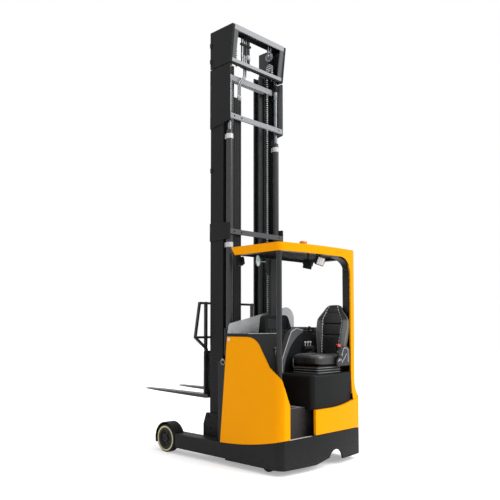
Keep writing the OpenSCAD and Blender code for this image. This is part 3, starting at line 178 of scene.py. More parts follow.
def dimmed(tree, color, amount):
    """Colour made darker or lighter by an amount."""
    color = color[:3] if isinstance(color, tuple) else color
    return add(tree, "VectorMath", {0: color, 3: amount}, operation="SCALE").outputs[0]


def bump(tree, strength, distance, height, normal=None, invert=False):
    """Normal that follows a height."""
    inputs = {"Strength": strength, "Distance": distance, "Height": height}
    if normal is not None:
        inputs["Normal"] = normal
    return add(tree, "Bump", inputs, invert=invert).outputs[0]


def axes(tree, vector=None):
    """X, Y and Z of a vector, or of the point that is shaded."""
    return add(tree, "SeparateXYZ", {0: place(tree) if vector is None else vector}).outputs


COLOR, VALUE, VECTOR = "NodeSocketColor", "NodeSocketFloat", "NodeSocketVector"
SKIN = {"Color": COLOR, "Roughness": VALUE, "Height": VALUE}
plain_grey = (0.5, 0.5, 0.5, 1)
group, take = effect("paint_film", {"Color": (COLOR, plain_grey), "Tone": (VALUE, 0.06),
                                    "Gloss": (VALUE, 0.4)}, SKIN)
where = place(group)
swing = both(group, both(group, noise(group, where, 2.6, 4.0), 0.5, "SUBTRACT"), take["Tone"])
patch = both(group, noise(group, where, 34.0, 6.0), 0.5, "SUBTRACT")
feed(group, {"Color": dimmed(group, take["Color"], both(group, both(group, swing, 2.0), 1.0, "ADD")),
             "Roughness": both(group, both(group, patch, 0.22), take["Gloss"], "ADD"),
             "Height": noise(group, where, 520.0, 2.0)})

group, take = effect("rounded_edge", {"Radius": (VALUE, 0.003)}, {"Normal": VECTOR, "Edge": VALUE})
bevel = add(group, "Bevel", {"Radius": take["Radius"]}, samples=4).outputs[0]
flat = add(group, "NewGeometry").outputs["Normal"]
turn = add(group, "VectorMath", {0: bevel, 1: flat}, operation="DOT_PRODUCT").outputs["Value"]
rub = noise(group, place(group), 48.0, 5.0)
feed(group, {"Normal": bevel,
             "Edge": both(group, spread(group, turn, 0.995, 0.88), spread(group, rub, 0.42, 0.62))})

group, take = effect("floor_soil", {"Color": (COLOR, plain_grey), "Soil": (COLOR, tint("4c4844")),
                                    "Height": (VALUE, 0.3), "Amount": (VALUE, 0.3)}, {"Color": COLOR})
where = place(group)
up = axes(group, where)["Z"]
low = add(group, "MapRange", {"Value": both(group, up, take["Height"], "DIVIDE"), "From Min": 1.0,
                              "From Max": 0.0}, interpolation_type="SMOOTHSTEP").outputs[0]
spots = spread(group, noise(group, where, 22.0, 7.0), 0.35, 0.7, 0.2, 1.0)
mask = both(group, both(group, low, spots), take["Amount"])
feed(group, {"Color": blend(group, mask, take["Color"], take["Soil"])})


def shade(tree, color):
    """Colour from its code, or from the function that builds it in this tree."""
    return color(tree) if callable(color) else tint(color)


def painted(name, color, gloss, edge_wear_and_glint, edge_wear_and_glint_color, soil=0.0, tone=0.06, shine=0.4, edge_r=0.004):
    """Paint over steel: a slightly uneven film, soft edges with rubbed spots that on some finishes also paint edge
    glints, and dust low down.
    """
    made, tree = material(name, {"Specular IOR Level": shine})
    film = use(tree, "paint_film", {"Color": shade(tree, color), "Tone": tone, "Gloss": gloss})
    rim = use(tree, "rounded_edge", {"Radius": edge_r})
    dust = use(tree, "floor_soil", {"Color": film["Color"], "Amount": soil})
    feed(tree, {"Base Color": blend(tree, both(tree, rim["Edge"], edge_wear_and_glint), dust["Color"], edge_wear_and_glint_color),
                "Roughness": film["Roughness"], "Normal": bump(tree, 0.12, 0.0004, film["Height"], rim["Normal"])})
    return made


def dress(finish, *names):
    """Give CAD nodes a finish."""
    for name in names:
        nodes[name].data.materials.clear()
        nodes[name].data.materials.append(finish)


charcoal = painted("charcoal_coat", "1b1c1d", 0.5, 0.25, "4c4d50", soil=0.15, tone=0.1, shine=0.14)
dress(charcoal, "chassis_tub", "legs", "wheel_fenders", "drive_bridge", "reach_barrel", "caster_fork")

# Wheels: polyurethane tyres bonded to cast hubs. Each load tyre has a pale worn
# ring near its tread, and its hub is held by six hexagon bolts.
def piece(name, grids, finish, body="chassis", smooth=40):
    """Mesh object of grids P[..., i, j, xyz]: each face joins neighbours along i and j. A grid closes on
    itself along j, unless it comes in a pair with False."""
    points, faces, base = [], [], 0
    for grid in grids:
        grid, closed = grid if isinstance(grid, tuple) else (grid, True)
        grid = np.asarray(grid, float)
        grid = grid.reshape((-1,) + grid.shape[-3:])
        k, nu, nv = grid.shape[:3]
        c, i, j = np.meshgrid(np.arange(k), np.arange(nu - 1), np.arange(nv - (not closed)), indexing="ij")
        corner = [(i, j), (i + 1, j), (i + 1, j + 1), (i, j + 1)]
        faces.append(np.stack([base + (c * nu + a) * nv + b % nv for a, b in corner], -1).reshape(-1, 4))
        points.append(grid.reshape(-1, 3))
        base += k * nu * nv
    mesh = bpy.data.meshes.new(name)
    mesh.from_pydata(np.concatenate(points).tolist(), [], np.concatenate(faces).tolist())
    shell = bmesh.new()
    shell.from_mesh(mesh)
    bmesh.ops.remove_doubles(shell, verts=shell.verts, dist=1e-5)
    bmesh.ops.dissolve_degenerate(shell, edges=shell.edges, dist=1e-6)
    bmesh.ops.recalc_face_normals(shell, faces=shell.faces)
    shell.to_mesh(mesh)
    shell.free()
    mesh.shade_smooth()
    mesh.set_sharp_from_angle(angle=math.radians(smooth))
    made = put(name, mesh)
    mesh.materials.append(finish)
    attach(made, body)
    return made


def xyz(x, y, z):
    """Points whose x, y and z are spread over one grid."""
    return np.stack(np.broadcast_arrays(x, y, z), -1)


def lathe(profile, centre, axis="z", way=1, n=24):
    """Turned shapes: each radius of the profile goes round the axis at its height above each centre."""
    radius, height = np.asarray(profile, float).T
    turn = np.linspace(0, 2 * np.pi, n, endpoint=False)
    ring = xyz(radius[:, None] * np.cos(turn), radius[:, None] * np.sin(turn), way * height[:, None])
    ring = ring[..., {"z": [0, 1, 2], "y": [0, 2, 1], "x": [2, 0, 1]}[axis]]
    return np.asarray(centre, float)[..., None, None, :] + ring


def hex_bolt(centre, size, axis, way):
    """Bolt heads on washers: a chamfered six-sided prism over a flat ring."""
    head = size * np.array([(0, 0.15), (1.1, 0.15), (1.1, 0.75), (0.95, 0.9), (0, 0.9)])
    washer = size * np.array([(0, 0), (1.5, 0), (1.5, 0.14), (1.4, 0.2), (0, 0.2)])
    return [lathe(head, centre, axis, way, 6), lathe(washer, centre, axis, way, 18)]


group, take = effect("rubber_scuff", {"Color": (COLOR, (0.03, 0.03, 0.03, 1)), "Scuff": (COLOR, tint("55534f")),
                                      "Amount": (VALUE, 0.4)}, SKIN)
where = place(group)
smear = noise(group, where, 18.0, 8.0)
mask = both(group, spread(group, smear, 0.45, 0.75), take["Amount"])
feed(group, {"Color": blend(group, mask, take["Color"], take["Scuff"]),
             "Roughness": spread(group, smear, 0.3, 0.7, 0.5, 0.8), "Height": noise(group, where, 260.0, 4.0)})


def rubber(name, color, scuff, amount):
    """Rubber: dull, finely pitted, with lighter scuffs."""
    made, tree = material(name, {"Specular IOR Level": 0.35})
    skin = use(tree, "rubber_scuff", {"Color": shade(tree, color), "Scuff": tint(scuff), "Amount": amount})
    feed(tree, {"Base Color": skin["Color"], "Roughness": skin["Roughness"],
                "Normal": bump(tree, 0.2, 0.0008, skin["Height"])})
    return made


def reach(tree, a, b):
    """Distance of a point from an axis, from its two distances."""
    return both(tree, both(tree, both(tree, a, a), both(tree, b, b), "ADD"), 0.5, "POWER")


lo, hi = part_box("left_load_tyre")
axle_x, axle_z, load_r = (lo.x + hi.x) / 2, (lo.z + hi.z) / 2, (hi.z - lo.z) / 2


def ringed(tree):
    """Colour by distance from the axle: black tread, a pale ring inside it, black again."""
    spot = axes(tree)
    off = reach(tree, both(tree, spot["X"], axle_x, "SUBTRACT"), both(tree, spot["Z"], axle_z, "SUBTRACT"))
    inner = spread(tree, off, load_r - 0.031, load_r - 0.028)
    outer = spread(tree, off, load_r - 0.013, load_r - 0.017)
    return blend(tree, both(tree, inner, outer), "1d1d1e", "d8cf9a")


dress(rubber("load_tyre_tread", ringed, "55534f", 0.35), "left_load_tyre", "right_load_tyre")
dress(rubber("black_tread", "202021", "55534f", 0.45), "drive_tyre", "caster_wheels")
cast = painted("cast_hub", "1c1c1b", 0.45, 0.3, "55564f", soil=0.2, tone=0.14, shine=0.2)
dress(cast, "left_load_hub", "right_load_hub", "drive_hub", "drive_unit", "load_axles")

group, take = effect("drawn_steel", {"Color": (COLOR, (0.6, 0.6, 0.6, 1)), "Rough": (VALUE, 0.3)}, SKIN)
where = place(group)
slim = add(group, "Mapping", {"Vector": where, "Scale": (400.0, 400.0, 14.0)}).outputs[0]
line = noise(group, slim, 1.0, 4.0)
film = spread(group, noise(group, where, 9.0, 5.0), 0.35, 0.75, 0.8, 1.05)
feed(group, {"Color": dimmed(group, take["Color"], film), "Height": line,
             "Roughness": both(group, spread(group, line, 0.3, 0.7, -0.07, 0.09), take["Rough"], "ADD")})


def steel(name, color, rough):
    """Bare steel: fine drawing lines along its length under a thin uneven film of oil."""
    made, tree = material(name, {"Metallic": 1.0})
    bare = use(tree, "drawn_steel", {"Color": tint(color), "Rough": rough})
    feed(tree, {"Base Color": bare["Color"], "Roughness": bare["Roughness"],
                "Normal": bump(tree, 0.03, 0.0002, bare["Height"])})
    return made


zinc = steel("zinc_steel", "96999c", 0.4)
dress(zinc, "reach_rollers")
bolt_ring, bolt_size, hub_dish = 0.0635, 0.0055, 0.0085
turn = np.radians(np.arange(0, 360, 60))
for side, body in ((1, "left_load_wheel"), (-1, "right_load_wheel")):
    lo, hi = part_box(body.replace("wheel", "hub"))
    face = (hi.y if side > 0 else lo.y) - side * hub_dish
    spots = xyz(axle_x + bolt_ring * np.cos(turn), face, axle_z + bolt_ring * np.sin(turn))
    piece(body.replace("wheel", "hub_bolts"), hex_bolt(spots, bolt_size, "y", side), cast, body, 25)

# Battery: a steel tray of cells in grey epoxy paint, with a lifting ring that
# hangs in an eye at its upper left corner.
dress(painted("battery_epoxy", "232426", 0.5, 0.3, "66676a", soil=0.1, tone=0.1, shine=0.18), "battery")


def unit(v):
    """Directions of length one."""
    return v / np.linalg.norm(v, axis=-1, keepdims=True)


def tube(path, radius, across=(0, 1, 0), n=10):
    """Round bar: a circle square to the path at each point, drawn to a point at both ends.
    The direction 'across' stands off the path's plane and starts each circle."""
    path = np.asarray(path, float)
    ahead = unit(np.gradient(path, axis=0))
    side = unit(np.cross(ahead, across))
    up = np.cross(side, ahead)
    pick = np.r_[0, np.arange(len(path)), len(path) - 1]
    size = np.r_[0, np.full(len(path), radius), 0][:, None, None]
    turn = np.linspace(0, 2 * np.pi, n, endpoint=False)[None, :, None]
    return path[pick][:, None] + size * (np.cos(turn) * side[pick][:, None] + np.sin(turn) * up[pick][:, None])


def soft_box(lo, hi, r, n=4):
    """Rounded boxes: each eighth of a ball of radius r sits at its corner of the inner box,
    and the ends are closed to their middle points."""
    lo, hi = np.asarray(lo, float), np.asarray(hi, float)
    quarter = np.linspace(0, 90, n)
    tilt = np.radians(np.r_[quarter - 90, quarter])[:, None]
    turn = np.radians(np.concatenate([quarter + 90 * q for q in range(4)]))[None, :]
    ball = xyz(np.cos(tilt) * np.cos(turn), np.cos(tilt) * np.sin(turn), np.sin(tilt))
    sign = xyz(np.repeat([1, -1, -1, 1], n), np.repeat([1, 1, -1, -1], n), np.repeat([-1, 1], n)[:, None])
    mid, half = ((lo + hi) / 2)[..., None, None, :], ((hi - lo) / 2)[..., None, None, :]
    skin = mid + sign * (half - r) + r * ball
    cap = np.broadcast_to(mid, skin[..., :1, :, :].shape)
    ends = half * np.array([0, 0, 1.0])
    return np.concatenate([cap - ends, skin, cap + ends], -3)


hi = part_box("battery")[1]
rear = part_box("chassis_tub")[0].x
ring_r, wire_r = 0.027, 0.005
bend = np.linspace(0, 2 * np.pi, 40)
hang = np.array([rear + 0.872, hi.y + 0.010, hi.z - 0.002])
loop = hang + ring_r * xyz(np.sin(bend), 0.12 * np.cos(bend), np.cos(bend))
eye = soft_box(hang + (-0.016, -0.011, 0.012), hang + (0.016, 0.008, 0.034), 0.005)
piece("lift_ring", [tube(loop, wire_r), eye], zinc)

# Mast: rolled steel channels in satin black. The crossbars between the columns and the head box's inner faces
# are coloured light grey as painted glare, and the reach carriage is bolted up from thick plate.
def near(tree, value, mark, gap):
    """One where a value lies within the gap of a mark, and nought elsewhere."""
    return add(tree, "Math", {0: value, 1: mark, 2: gap}, operation="COMPARE").outputs[0]


def glare_barred(half_width, dark, light, front=9.0, lip=(0.0, 0.0), tie=(0.0, 9.0), web=(0.0, 0.0)):
    """Colour of the mast with painted glare: the crossbars and inner faces between the columns are light grey for the
    glare on them, and the plates outside them are dark. Behind 'front' all bars are light; ahead of it only those at
    the heights of 'tie'. The heights of 'lip' stay dark, and those of 'web' are mostly dark."""
    def recolor(tree):
        spot = axes(tree)
        wide = add(tree, "Math", {0: spot["Y"]}, operation="ABSOLUTE").outputs[0]
        inside = spread(tree, wide, half_width + 0.001, half_width - 0.001)
        behind = spread(tree, spot["X"], rear + front + 0.0005, rear + front - 0.0005)
        lips, ties, webs = (near(tree, spot["Z"], (low + high) / 2, (high - low) / 2) for low, high in (lip, tie, web))
        shown = both(tree, both(tree, behind, ties, "MAXIMUM"), both(tree, 1.0, lips, "SUBTRACT"))
        shown = both(tree, shown, spread(tree, webs, 0.0, 1.0, 1.0, 0.3))
        return blend(tree, both(tree, inside, shown), dark, light)
    return recolor


mast_black = painted("mast_black", "161617", 0.46, 0.25, "56575a", soil=0.12, tone=0.12, shine=0.13)
# Painted highlight: the rails' strong pale edges are partly wear and partly painted glints along the edges.
rail_black = painted("rail_black", "262728", 0.36, 0.85, "8b8c90", soil=0.12, tone=0.2, shine=0.3, edge_r=0.006)
mast_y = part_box("mid_rails")[1].y
# Painted glare: the light grey on the crossbars, on the head box's inner faces and on the inner tie stands in for
# studio glare on them.
head_glare_bars = glare_barred(mast_y + 0.002, "161617", "999b9e", 0.984, (4.2, 4.256), (4.09, 4.16), (4.296, 4.596))
tie_glare_bars = glare_barred(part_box("outer_rails")[1].y, "161617", "8c8e91", web=(2.2, 2.6))
dress(painted("head_glare_paint", head_glare_bars, 0.44, 0.3, "9a9b9e", tone=0.1, shine=0.14), "mid_head")
dress(painted("tie_glare_paint", tie_glare_bars, 0.44, 0.3, "9a9b9e", tone=0.1, shine=0.14), "outer_ties")
dress(painted("inner_tie_glare_grey", "8a8c8f", 0.45, 0.3, "a8a9ac", tone=0.12, shine=0.2), "inner_ties")
dress(mast_black, "outer_rails", "reach_carriage")
dress(rail_black, "mid_rails", "inner_rails", "lift_carriage", "tilt_frame", "shift_frame", "backrest")
cheek_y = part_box("reach_carriage")[1].y
spots = np.array([(x, z) for x in (1.105, 1.235, 1.31) for z in (0.125, 0.3)] + [(1.13, 0.425), (1.27, 0.425)])
spots = xyz(rear + spots[:, 0], cheek_y, spots[:, 1])
cheek_bolt = 0.009
bolts = [part for side in (1, -1) for part in hex_bolt(spots * (1, side, 1), cheek_bolt, "y", side)]
piece("carriage_bolts", bolts, mast_black, "outer_mast", 25)
lug, lug_r = np.array([0.02, 0.014, 0.052]), 0.004
for name, body, node, heights in (("mast_lugs", "outer_mast", "outer_rails", (2.45, 3.1, 3.72, 4.02)),
                                  ("head_lugs", "middle_mast", "mid_head", (4.32, 4.5))):
    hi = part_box(node)[1]
    low = xyz(hi.x - 0.022, [[hi.y - 0.001], [-hi.y - 0.013]], np.array(heights) - lug[2] / 2)
    piece(name, [soft_box(low, low + lug, lug_r)], rail_black, body)

# Lift cylinders: black barrels with bright clamp collars, and hard chromed rods
# that push up the head of the middle stage.
collar_z, collar_half = (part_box("lift_barrels")[1].z - 0.075, 2.265), 0.027


def collared(tree):
    """Colour by height: bright steel at the two clamp collars, black paint elsewhere."""
    z = axes(tree)["Z"]
    bands = [near(tree, z, mark, collar_half) for mark in collar_z]
    return blend(tree, both(tree, *bands, "MAXIMUM"), "1c1d1e", "c4c5c7")


dress(painted("barrel_paint", collared, 0.24, 0.2, "8b8c90", tone=0.1, shine=0.6), "lift_barrels")
dress(steel("chromed_rod", "85878a", 0.24), "lift_rods")
lo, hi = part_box("lift_rods")
rod_x, rod_y = (lo.x + hi.x) / 2, hi.y - (hi.x - lo.x) / 2
tops = xyz(rod_x, (rod_y, -rod_y), hi.z)
block = [(0, -0.16), (0.029, -0.16), (0.031, -0.155), (0.031, -0.09), (0.028, -0.084), (0, -0.084)]
piece("rod_blocks", [lathe(block, tops, n=28)], mast_black, "middle_mast")
collar = [(0, -0.25), (0.024, -0.25), (0.0255, -0.246), (0.0255, -0.164), (0, -0.16)]
piece("rod_collars", [lathe(collar, tops, n=28)], zinc, "middle_mast")

# Lift chains: leaf chain of stacked side plates on steel pins, oiled and dull,
# led over a sheave at the head of the middle stage.
def ripple(tree, value, pitch):
    """Sine of a value that comes round again after each pitch."""
    return add(tree, "Math", {0: both(tree, value, 2 * math.pi / pitch)}, operation="SINE").outputs[0]


chain_pitch = 0.025
# Painted glint: pale links with near-black gaps every 25 mm stand in for a highlight on each link, and the metal is
# turned down to a third.
leaf, tree = material("leaf_chain_glint", {"Metallic": 0.3})
bare = use(tree, "drawn_steel", {"Color": tint("d2d4d6"), "Rough": 0.38})
gap = spread(tree, ripple(tree, axes(tree)["Z"], chain_pitch), -0.15, 0.25)
feed(tree, {"Base Color": blend(tree, gap, bare["Color"], "0c0c0d"), "Roughness": bare["Roughness"],
            "Normal": bump(tree, 0.5, 0.003, gap, invert=True)})
dress(leaf, "lift_chains")
stud = [(0, 0), (0.006, 0), (0.006, 0.062), (0.0, 0.062)]
nut = [(0, 0.01), (0.011, 0.01), (0.011, 0.022), (0, 0.022)]
chain_x, chain_y, foot_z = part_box("lift_chains")[0].x + 0.009, 0.290, 4.233
foot = xyz(chain_x, (chain_y, -chain_y), foot_z)
piece("chain_anchors", [lathe(stud, foot, n=12), lathe(nut, foot, n=6), lathe(nut, foot + (0, 0, 0.03), n=6)],
      zinc, "middle_mast", 25)

# Hydraulic lines: bright bent pipes at the mast head that carry on as black
# hoses down the column, with crimped ferrules and clamps where they meet.
bright_pipe = steel("bright_pipe", "7e8083", 0.36)
dress(bright_pipe, "mast_pipes")
hose_skin = rubber("hose_skin", "1a1a1b", "3f3e3c", 0.3)
dress(hose_skin, "mast_hoses")


def bent(points, r, n=9):
    """Path through points with each inner corner rounded to radius r: the arc about the centre that
    lies on the corner's bisector, from where it touches the first straight run to the second."""
    p = np.asarray(points, float)
    before, after = unit(p[:-2] - p[1:-1]), unit(p[2:] - p[1:-1])
    half = np.arccos((before * after).sum(1, keepdims=True)) / 2
    r = np.broadcast_to(np.asarray(r, float), (len(p) - 2,))[:, None]
    centre = p[1:-1] + unit(before + after) * r / np.sin(half)
    start, end = p[1:-1] + before * r / np.tan(half) - centre, p[1:-1] + after * r / np.tan(half) - centre
    sweep, t = (np.pi - 2 * half)[:, None], np.linspace(0, 1, n)[None, :, None]
    arc = (np.sin((1 - t) * sweep) * start[:, None] + np.sin(t * sweep) * end[:, None]) / np.sin(sweep)
    return np.concatenate([p[:1], (centre[:, None] + arc).reshape(-1, 3), p[-1:]])


def capped(rows):
    """Closed bar: rows of points round a section, with each end row drawn to its middle."""
    ends = rows[[0, -1]].mean(1, keepdims=True).repeat(rows.shape[1], 1)
    return np.concatenate([ends[:1], rows, ends[1:]])


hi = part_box("mast_pipes")[1]
pipe_x, head_z = hi.x - 0.009, hi.z
column_y, pipe_y, hose_y = (0.256, 0.228), (0.17, 0.142), (0.203, 0.112, 0.088)
hose_foot, pipe_foot, column_z = 4.262, 4.40, 3.865
ferrule = [(0, 0), (0.011, 0), (0.0125, 0.004), (0.0125, 0.05), (0.0105, 0.056), (0, 0.056)]
spots = xyz(pipe_x, column_y + pipe_y, np.repeat([column_z, head_z - 0.05], 2))
piece("pipe_ferrules", [lathe(ferrule, spots, n=18)], zinc, "middle_mast")
cap_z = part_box("mid_head")[1].z - 0.026
rise = np.linspace(0, 1, 14)[:, None]
runs = []
# Each hose is a straight run up to the cap, swayed aside by half a sine wave.
for y in hose_y + pipe_y:
    foot, thick, sway = (pipe_foot, 0.0105, 0.0) if y in pipe_y else (hose_foot, 0.0085, 0.003)
    line = np.array([pipe_x, y, foot]) + rise * (0, 0, cap_z + 0.006 - foot) + np.sin(np.pi * rise) * (0, sway, 0)
    runs.append(tube(line, thick, n=12))
clamps = [soft_box((pipe_x - 0.016, 0.074, 4.246), (pipe_x + 0.013, 0.218, 4.266), 0.004),
          soft_box((pipe_x - 0.018, 0.07, 4.505), (pipe_x + 0.015, 0.222, 4.527), 0.004)]
piece("head_hoses", runs + clamps, hose_skin, "middle_mast")
fold = np.array([(0.914, 0.0), (1.022, 0.0), (1.028, -0.006), (1.028, -0.026), (1.034, -0.026), (1.034, 0.006),
                 (1.028, 0.012), (0.914, 0.012)])
run = np.linspace(-0.394, 0.394, 9)[:, None]
fold = xyz(rear + fold[:, 0], run, cap_z + fold[:, 1])
piece("head_cap", [capped(fold)], mast_black, "middle_mast", 30)
spots = xyz(pipe_x, hose_y, 4.36)
piece("hose_ferrules", [lathe(ferrule, spots, n=18)], zinc, "middle_mast")
hub = np.array([rear + 0.945, -0.18, 4.47])
wheel = [(0, -0.016), (0.042, -0.016), (0.046, -0.012), (0.034, -0.004), (0.034, 0.004), (0.046, 0.012),
         (0.042, 0.016), (0, 0.016)]
cap = [(0.026 * math.cos(a), 0.02 + 0.022 * math.sin(a)) for a in np.linspace(0, math.pi / 2, 7)]
straps = [soft_box(hub + (-0.012, y - 0.003, -0.012), hub + (0.012, y + 0.003, 0.135), 0.002) for y in (-0.02, 0.02)]
piece("hose_pulley", [lathe(wheel, hub, "y", 1, 36), lathe(cap, hub, "y", 1, 24)] + straps,
      bright_pipe, "middle_mast")

# Forks: forged steel blades in black paint that pallets have rubbed bare along
# their tops and tips.
def rubbed(tree):
    """Colour along the blade: black heels, and bare steel towards the tips in patches."""
    patch = noise(tree, place(tree), 14.0, 7.0)
    tip = both(tree, spread(tree, axes(tree)["X"], 0.2, 1.3, 0.0, 0.34), patch, "ADD")
    return blend(tree, spread(tree, tip, 0.72, 0.92, 0.0, 0.6), "222325", "77787b")


dress(painted("fork_paint", rubbed, 0.4, 0.6, "8d8e91", tone=0.12), "forks")
spots = xyz(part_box("shift_frame")[1].x, [[0.365], [-0.365]], (0.67, 0.73, 1.03, 1.09))
piece("frame_bolts", hex_bolt(spots, 0.008, "x", 1), zinc, "fork_frame", 25)

# Body panels: pressed and moulded skins in orange-yellow two-pack paint with a clear
# gloss, scuffed only at their lowest edges. A drawn foot leads the guard's pillar into them.
amber_yellow = (0.92, 0.345, 0.0, 1.0)
yellow = painted("yellow_gloss", amber_yellow, 0.34, 0.1, "e0a010", soil=0.04, tone=0.03, shine=0.04, edge_r=0.014)
dress(yellow, "left_panel", "right_panel", "rear_cover")
heart_x, heart_y, post_r, low_r = rear + 0.1698, -0.505, 0.1158, 0.1295
side_x, post_side, skirt_side = rear + 0.2, -0.6208, -0.6345
foot_top, skin_t, flare = 0.83, 0.003, 2.2
pillar_bow, cover_bow, brim_bow = 3.4538, 4.0, 2.0


def pillar_skin():
    """Pillar foot: from each point of the pillar's section, a shallow arc, a quarter circle and a straight,
    a line falls to the same point of the rear cover's rounded section and swings out with a power of
    its fall. The inner face stands in from the outer one by the skin's thickness."""
    heart = np.array([heart_x, heart_y])
    turn = np.radians(np.linspace(180, 270, 20))
    rear_y = np.linspace(-0.479, -0.503, 4)
    post = np.stack([rear + 3.498 - np.sqrt(pillar_bow ** 2 - (rear_y + 0.25) ** 2), rear_y], -1)
    post = np.concatenate([post, heart + post_r * np.stack([np.cos(turn), np.sin(turn)], -1), [[side_x, post_side]]])
    low_y = np.where(post[:, 1] > heart_y, post[:, 1], heart_y + (post[:, 1] - heart_y) * low_r / post_r)
    bow = rear + cover_bow - np.sqrt(cover_bow ** 2 - low_y ** 2)
    round_x = rear + 0.145 - np.sqrt(np.clip(0.1445 ** 2 - np.minimum(low_y + 0.49, 0) ** 2, 0, None))
    skirt = np.stack([np.maximum(bow, round_x) + 0.0005, low_y], -1)
    skirt[-1] = side_x, skirt_side
    skirt_z = 0.5805 + brim_bow - np.sqrt(brim_bow ** 2 - (low_y + 0.06) ** 2)
    fall = np.linspace(0, 1, 16)[None, :, None]
    outer = post[:, None] + (skirt - post)[:, None] * fall ** flare
    height = foot_top + (skirt_z[:, None] - foot_top) * fall[..., 0]
    inner = outer + skin_t * unit(heart - outer)
    shell = [xyz(face[..., 0], face[..., 1], height) for face in (outer, inner)]
    return np.concatenate([shell[0], shell[1][:, ::-1]], 1)


piece("pillar_foot", [capped(pillar_skin())], yellow)
side_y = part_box("left_panel")[1].y
plate = soft_box((rear + 0.733, side_y - 0.001, 1.244), (rear + 0.765, side_y + 0.0015, 1.276), 0.001)
piece("blank_plate", [plate], painted("blank_plate", "d9cfd0", 0.5, 0.1, "a8a0a0", tone=0.04))

# Hood, seat box and consoles: black moulded plastic with a fine spark-eroded
# grain that shines a little along the edges.
group, take = effect("moulded_grain", {"Scale": (VALUE, 900.0)}, {"Height": VALUE, "Tone": VALUE})
where = place(group)
cell = add(group, "TexVoronoi", {"Vector": where, "Scale": take["Scale"]}).outputs["Distance"]
feed(group, {"Height": cell, "Tone": noise(group, where, 6.0, 5.0)})


def moulded(name, color, rough, shine=0.2, edge_color="7d7e82", edges=0.25):
    """Moulded plastic: grained skin with slow changes of shine and paler rubbed edges, which on the black mould also
    paint edge highlights.
    """
    made, tree = material(name, {"Specular IOR Level": shine})
    skin = use(tree, "moulded_grain", {})
    rim = use(tree, "rounded_edge", {"Radius": 0.005})
    dark = dimmed(tree, shade(tree, color), spread(tree, skin["Tone"], 0.3, 0.7, 0.88, 1.12))
    feed(tree, {"Base Color": blend(tree, both(tree, rim["Edge"], edges), dark, edge_color),
                "Roughness": spread(tree, skin["Tone"], 0.3, 0.7, rough - 0.07, rough + 0.07),
                "Normal": bump(tree, 0.15, 0.0004, skin["Height"], rim["Normal"])})
    return made


# Painted highlight: the black mould's strong pale edges are partly wear and partly highlights along the hood's edges.
black_mould = moulded("black_mould", "1a1b1c", 0.42, 0.2, "8c8d90", 0.4)
grey_mould = moulded("grey_mould", "38393b", 0.45, 0.25)
gloss_mould = moulded("gloss_mould", "101112", 0.34, 0.1)
trim_and_highlight_grey = moulded("trim_and_highlight_grey", "a9abad", 0.35, 0.5)
dress(black_mould, "front_hood", "steering_wheel")
dress(moulded("box_mould", "151617", 0.5, 0.12), "seat_box")
dress(moulded("console_grey", "4d4e50", 0.45, 0.25), "arm_console")
dress(gloss_mould, "display_console")
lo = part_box("arm_console")[0]
edge = [(0.168, lo.z), (0.1765, lo.z + 0.13), (0.071, 1.259), (0.029, 1.334), (-0.058, 1.37), (-0.15, 1.347)]
edge = bent([(lo.x + 0.002, y, z) for y, z in edge], (0.06, 0.2, 0.03, 0.03))
piece("console_trim", [tube(edge, 0.0045, (1, 0, 0))], trim_and_highlight_grey)
lo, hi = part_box("display_console")
glass, tree = material("display_glass", {"Roughness": 0.2, "Specular IOR Level": 0.2})
feed(tree, {"Base Color": blend(tree, noise(tree, place(tree), 3.0), "0d0f12", "1d2126")})
pane = soft_box((lo.x + 0.0165, lo.y + 0.074, lo.z + 0.044), (lo.x + 0.0225, hi.y - 0.044, hi.z - 0.04), 0.0025)
piece("display_glass", [pane], glass)
lid_z, ledge_z = lo.z - 0.0015, lo.z - 0.0005
# Painted highlight: a pale grey tube along the lid's top edge stands in for the highlight on that edge.
lid = bent([(rear + 0.797, 0.603, lid_z), (rear + 0.515, 0.603, lid_z), (rear + 0.5125, 0.1, lid_z)], 0.02)
piece("lid_edge_highlight", [tube(lid, 0.0032, (0, 0, 1), 8)], trim_and_highlight_grey)
ledge = soft_box((rear + 0.722, -0.59, ledge_z), (rear + 0.792, -0.2, 1.385), 0.012)
wing = soft_box((rear + 0.535, -0.598, ledge_z), (rear + 0.735, -0.452, 1.381), 0.012)
piece("dash_ledge", [ledge, wing], black_mould)
knob = [(0, 0), (0.008, 0), (0.008, 0.004), (0.006, 0.007), (0, 0.0075)]
spots = xyz(lo.x + 0.004, np.linspace(lo.y + 0.11, hi.y - 0.08, 6), lo.z + 0.021)
piece("display_buttons", [lathe(knob, spots, "x", -1, 16)], grey_mould)

# Windscreen: a sheet of grey polycarbonate, frosted by use, screwed to the front
# of the hood with its upper edge polished pale.
sheet, tree = material("grey_polycarbonate", {"Specular IOR Level": 0.5})
where = place(tree)
haze = noise(tree, where, 5.0, 6.0)
feed(tree, {"Base Color": blend(tree, haze, "b2b5b6", "bfc1c2"),
            "Roughness": spread(tree, noise(tree, where, 180.0, 3.0), 0.3, 0.7, 0.14, 0.3),
            "Alpha": spread(tree, haze, 0.3, 0.7, 0.8, 0.88)})
dress(sheet, "windscreen")
lo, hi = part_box("windscreen")
mid_x = (lo.x + hi.x) / 2
rim = [(mid_x, hi.y, lo.z), (mid_x, hi.y - 0.024, lo.z + 0.095), (mid_x, lo.y, lo.z + 0.311), (mid_x, lo.y, lo.z)]
edge = bent(rim, (0.03, 0.13), 16)
piece("screen_edge", [tube(edge, 0.0036, (1, 0, 0), 8)], trim_and_highlight_grey)
screw = [(0, 0.004), (0.004, 0.004), (0.007, 0.002), (0.007, 0), (0, 0)]
spots = xyz(lo.x, np.linspace(lo.y + 0.06, hi.y - 0.06, 7), lo.z + 0.016)
piece("screen_screws", [lathe(screw, spots, "x", -1, 14)], zinc)

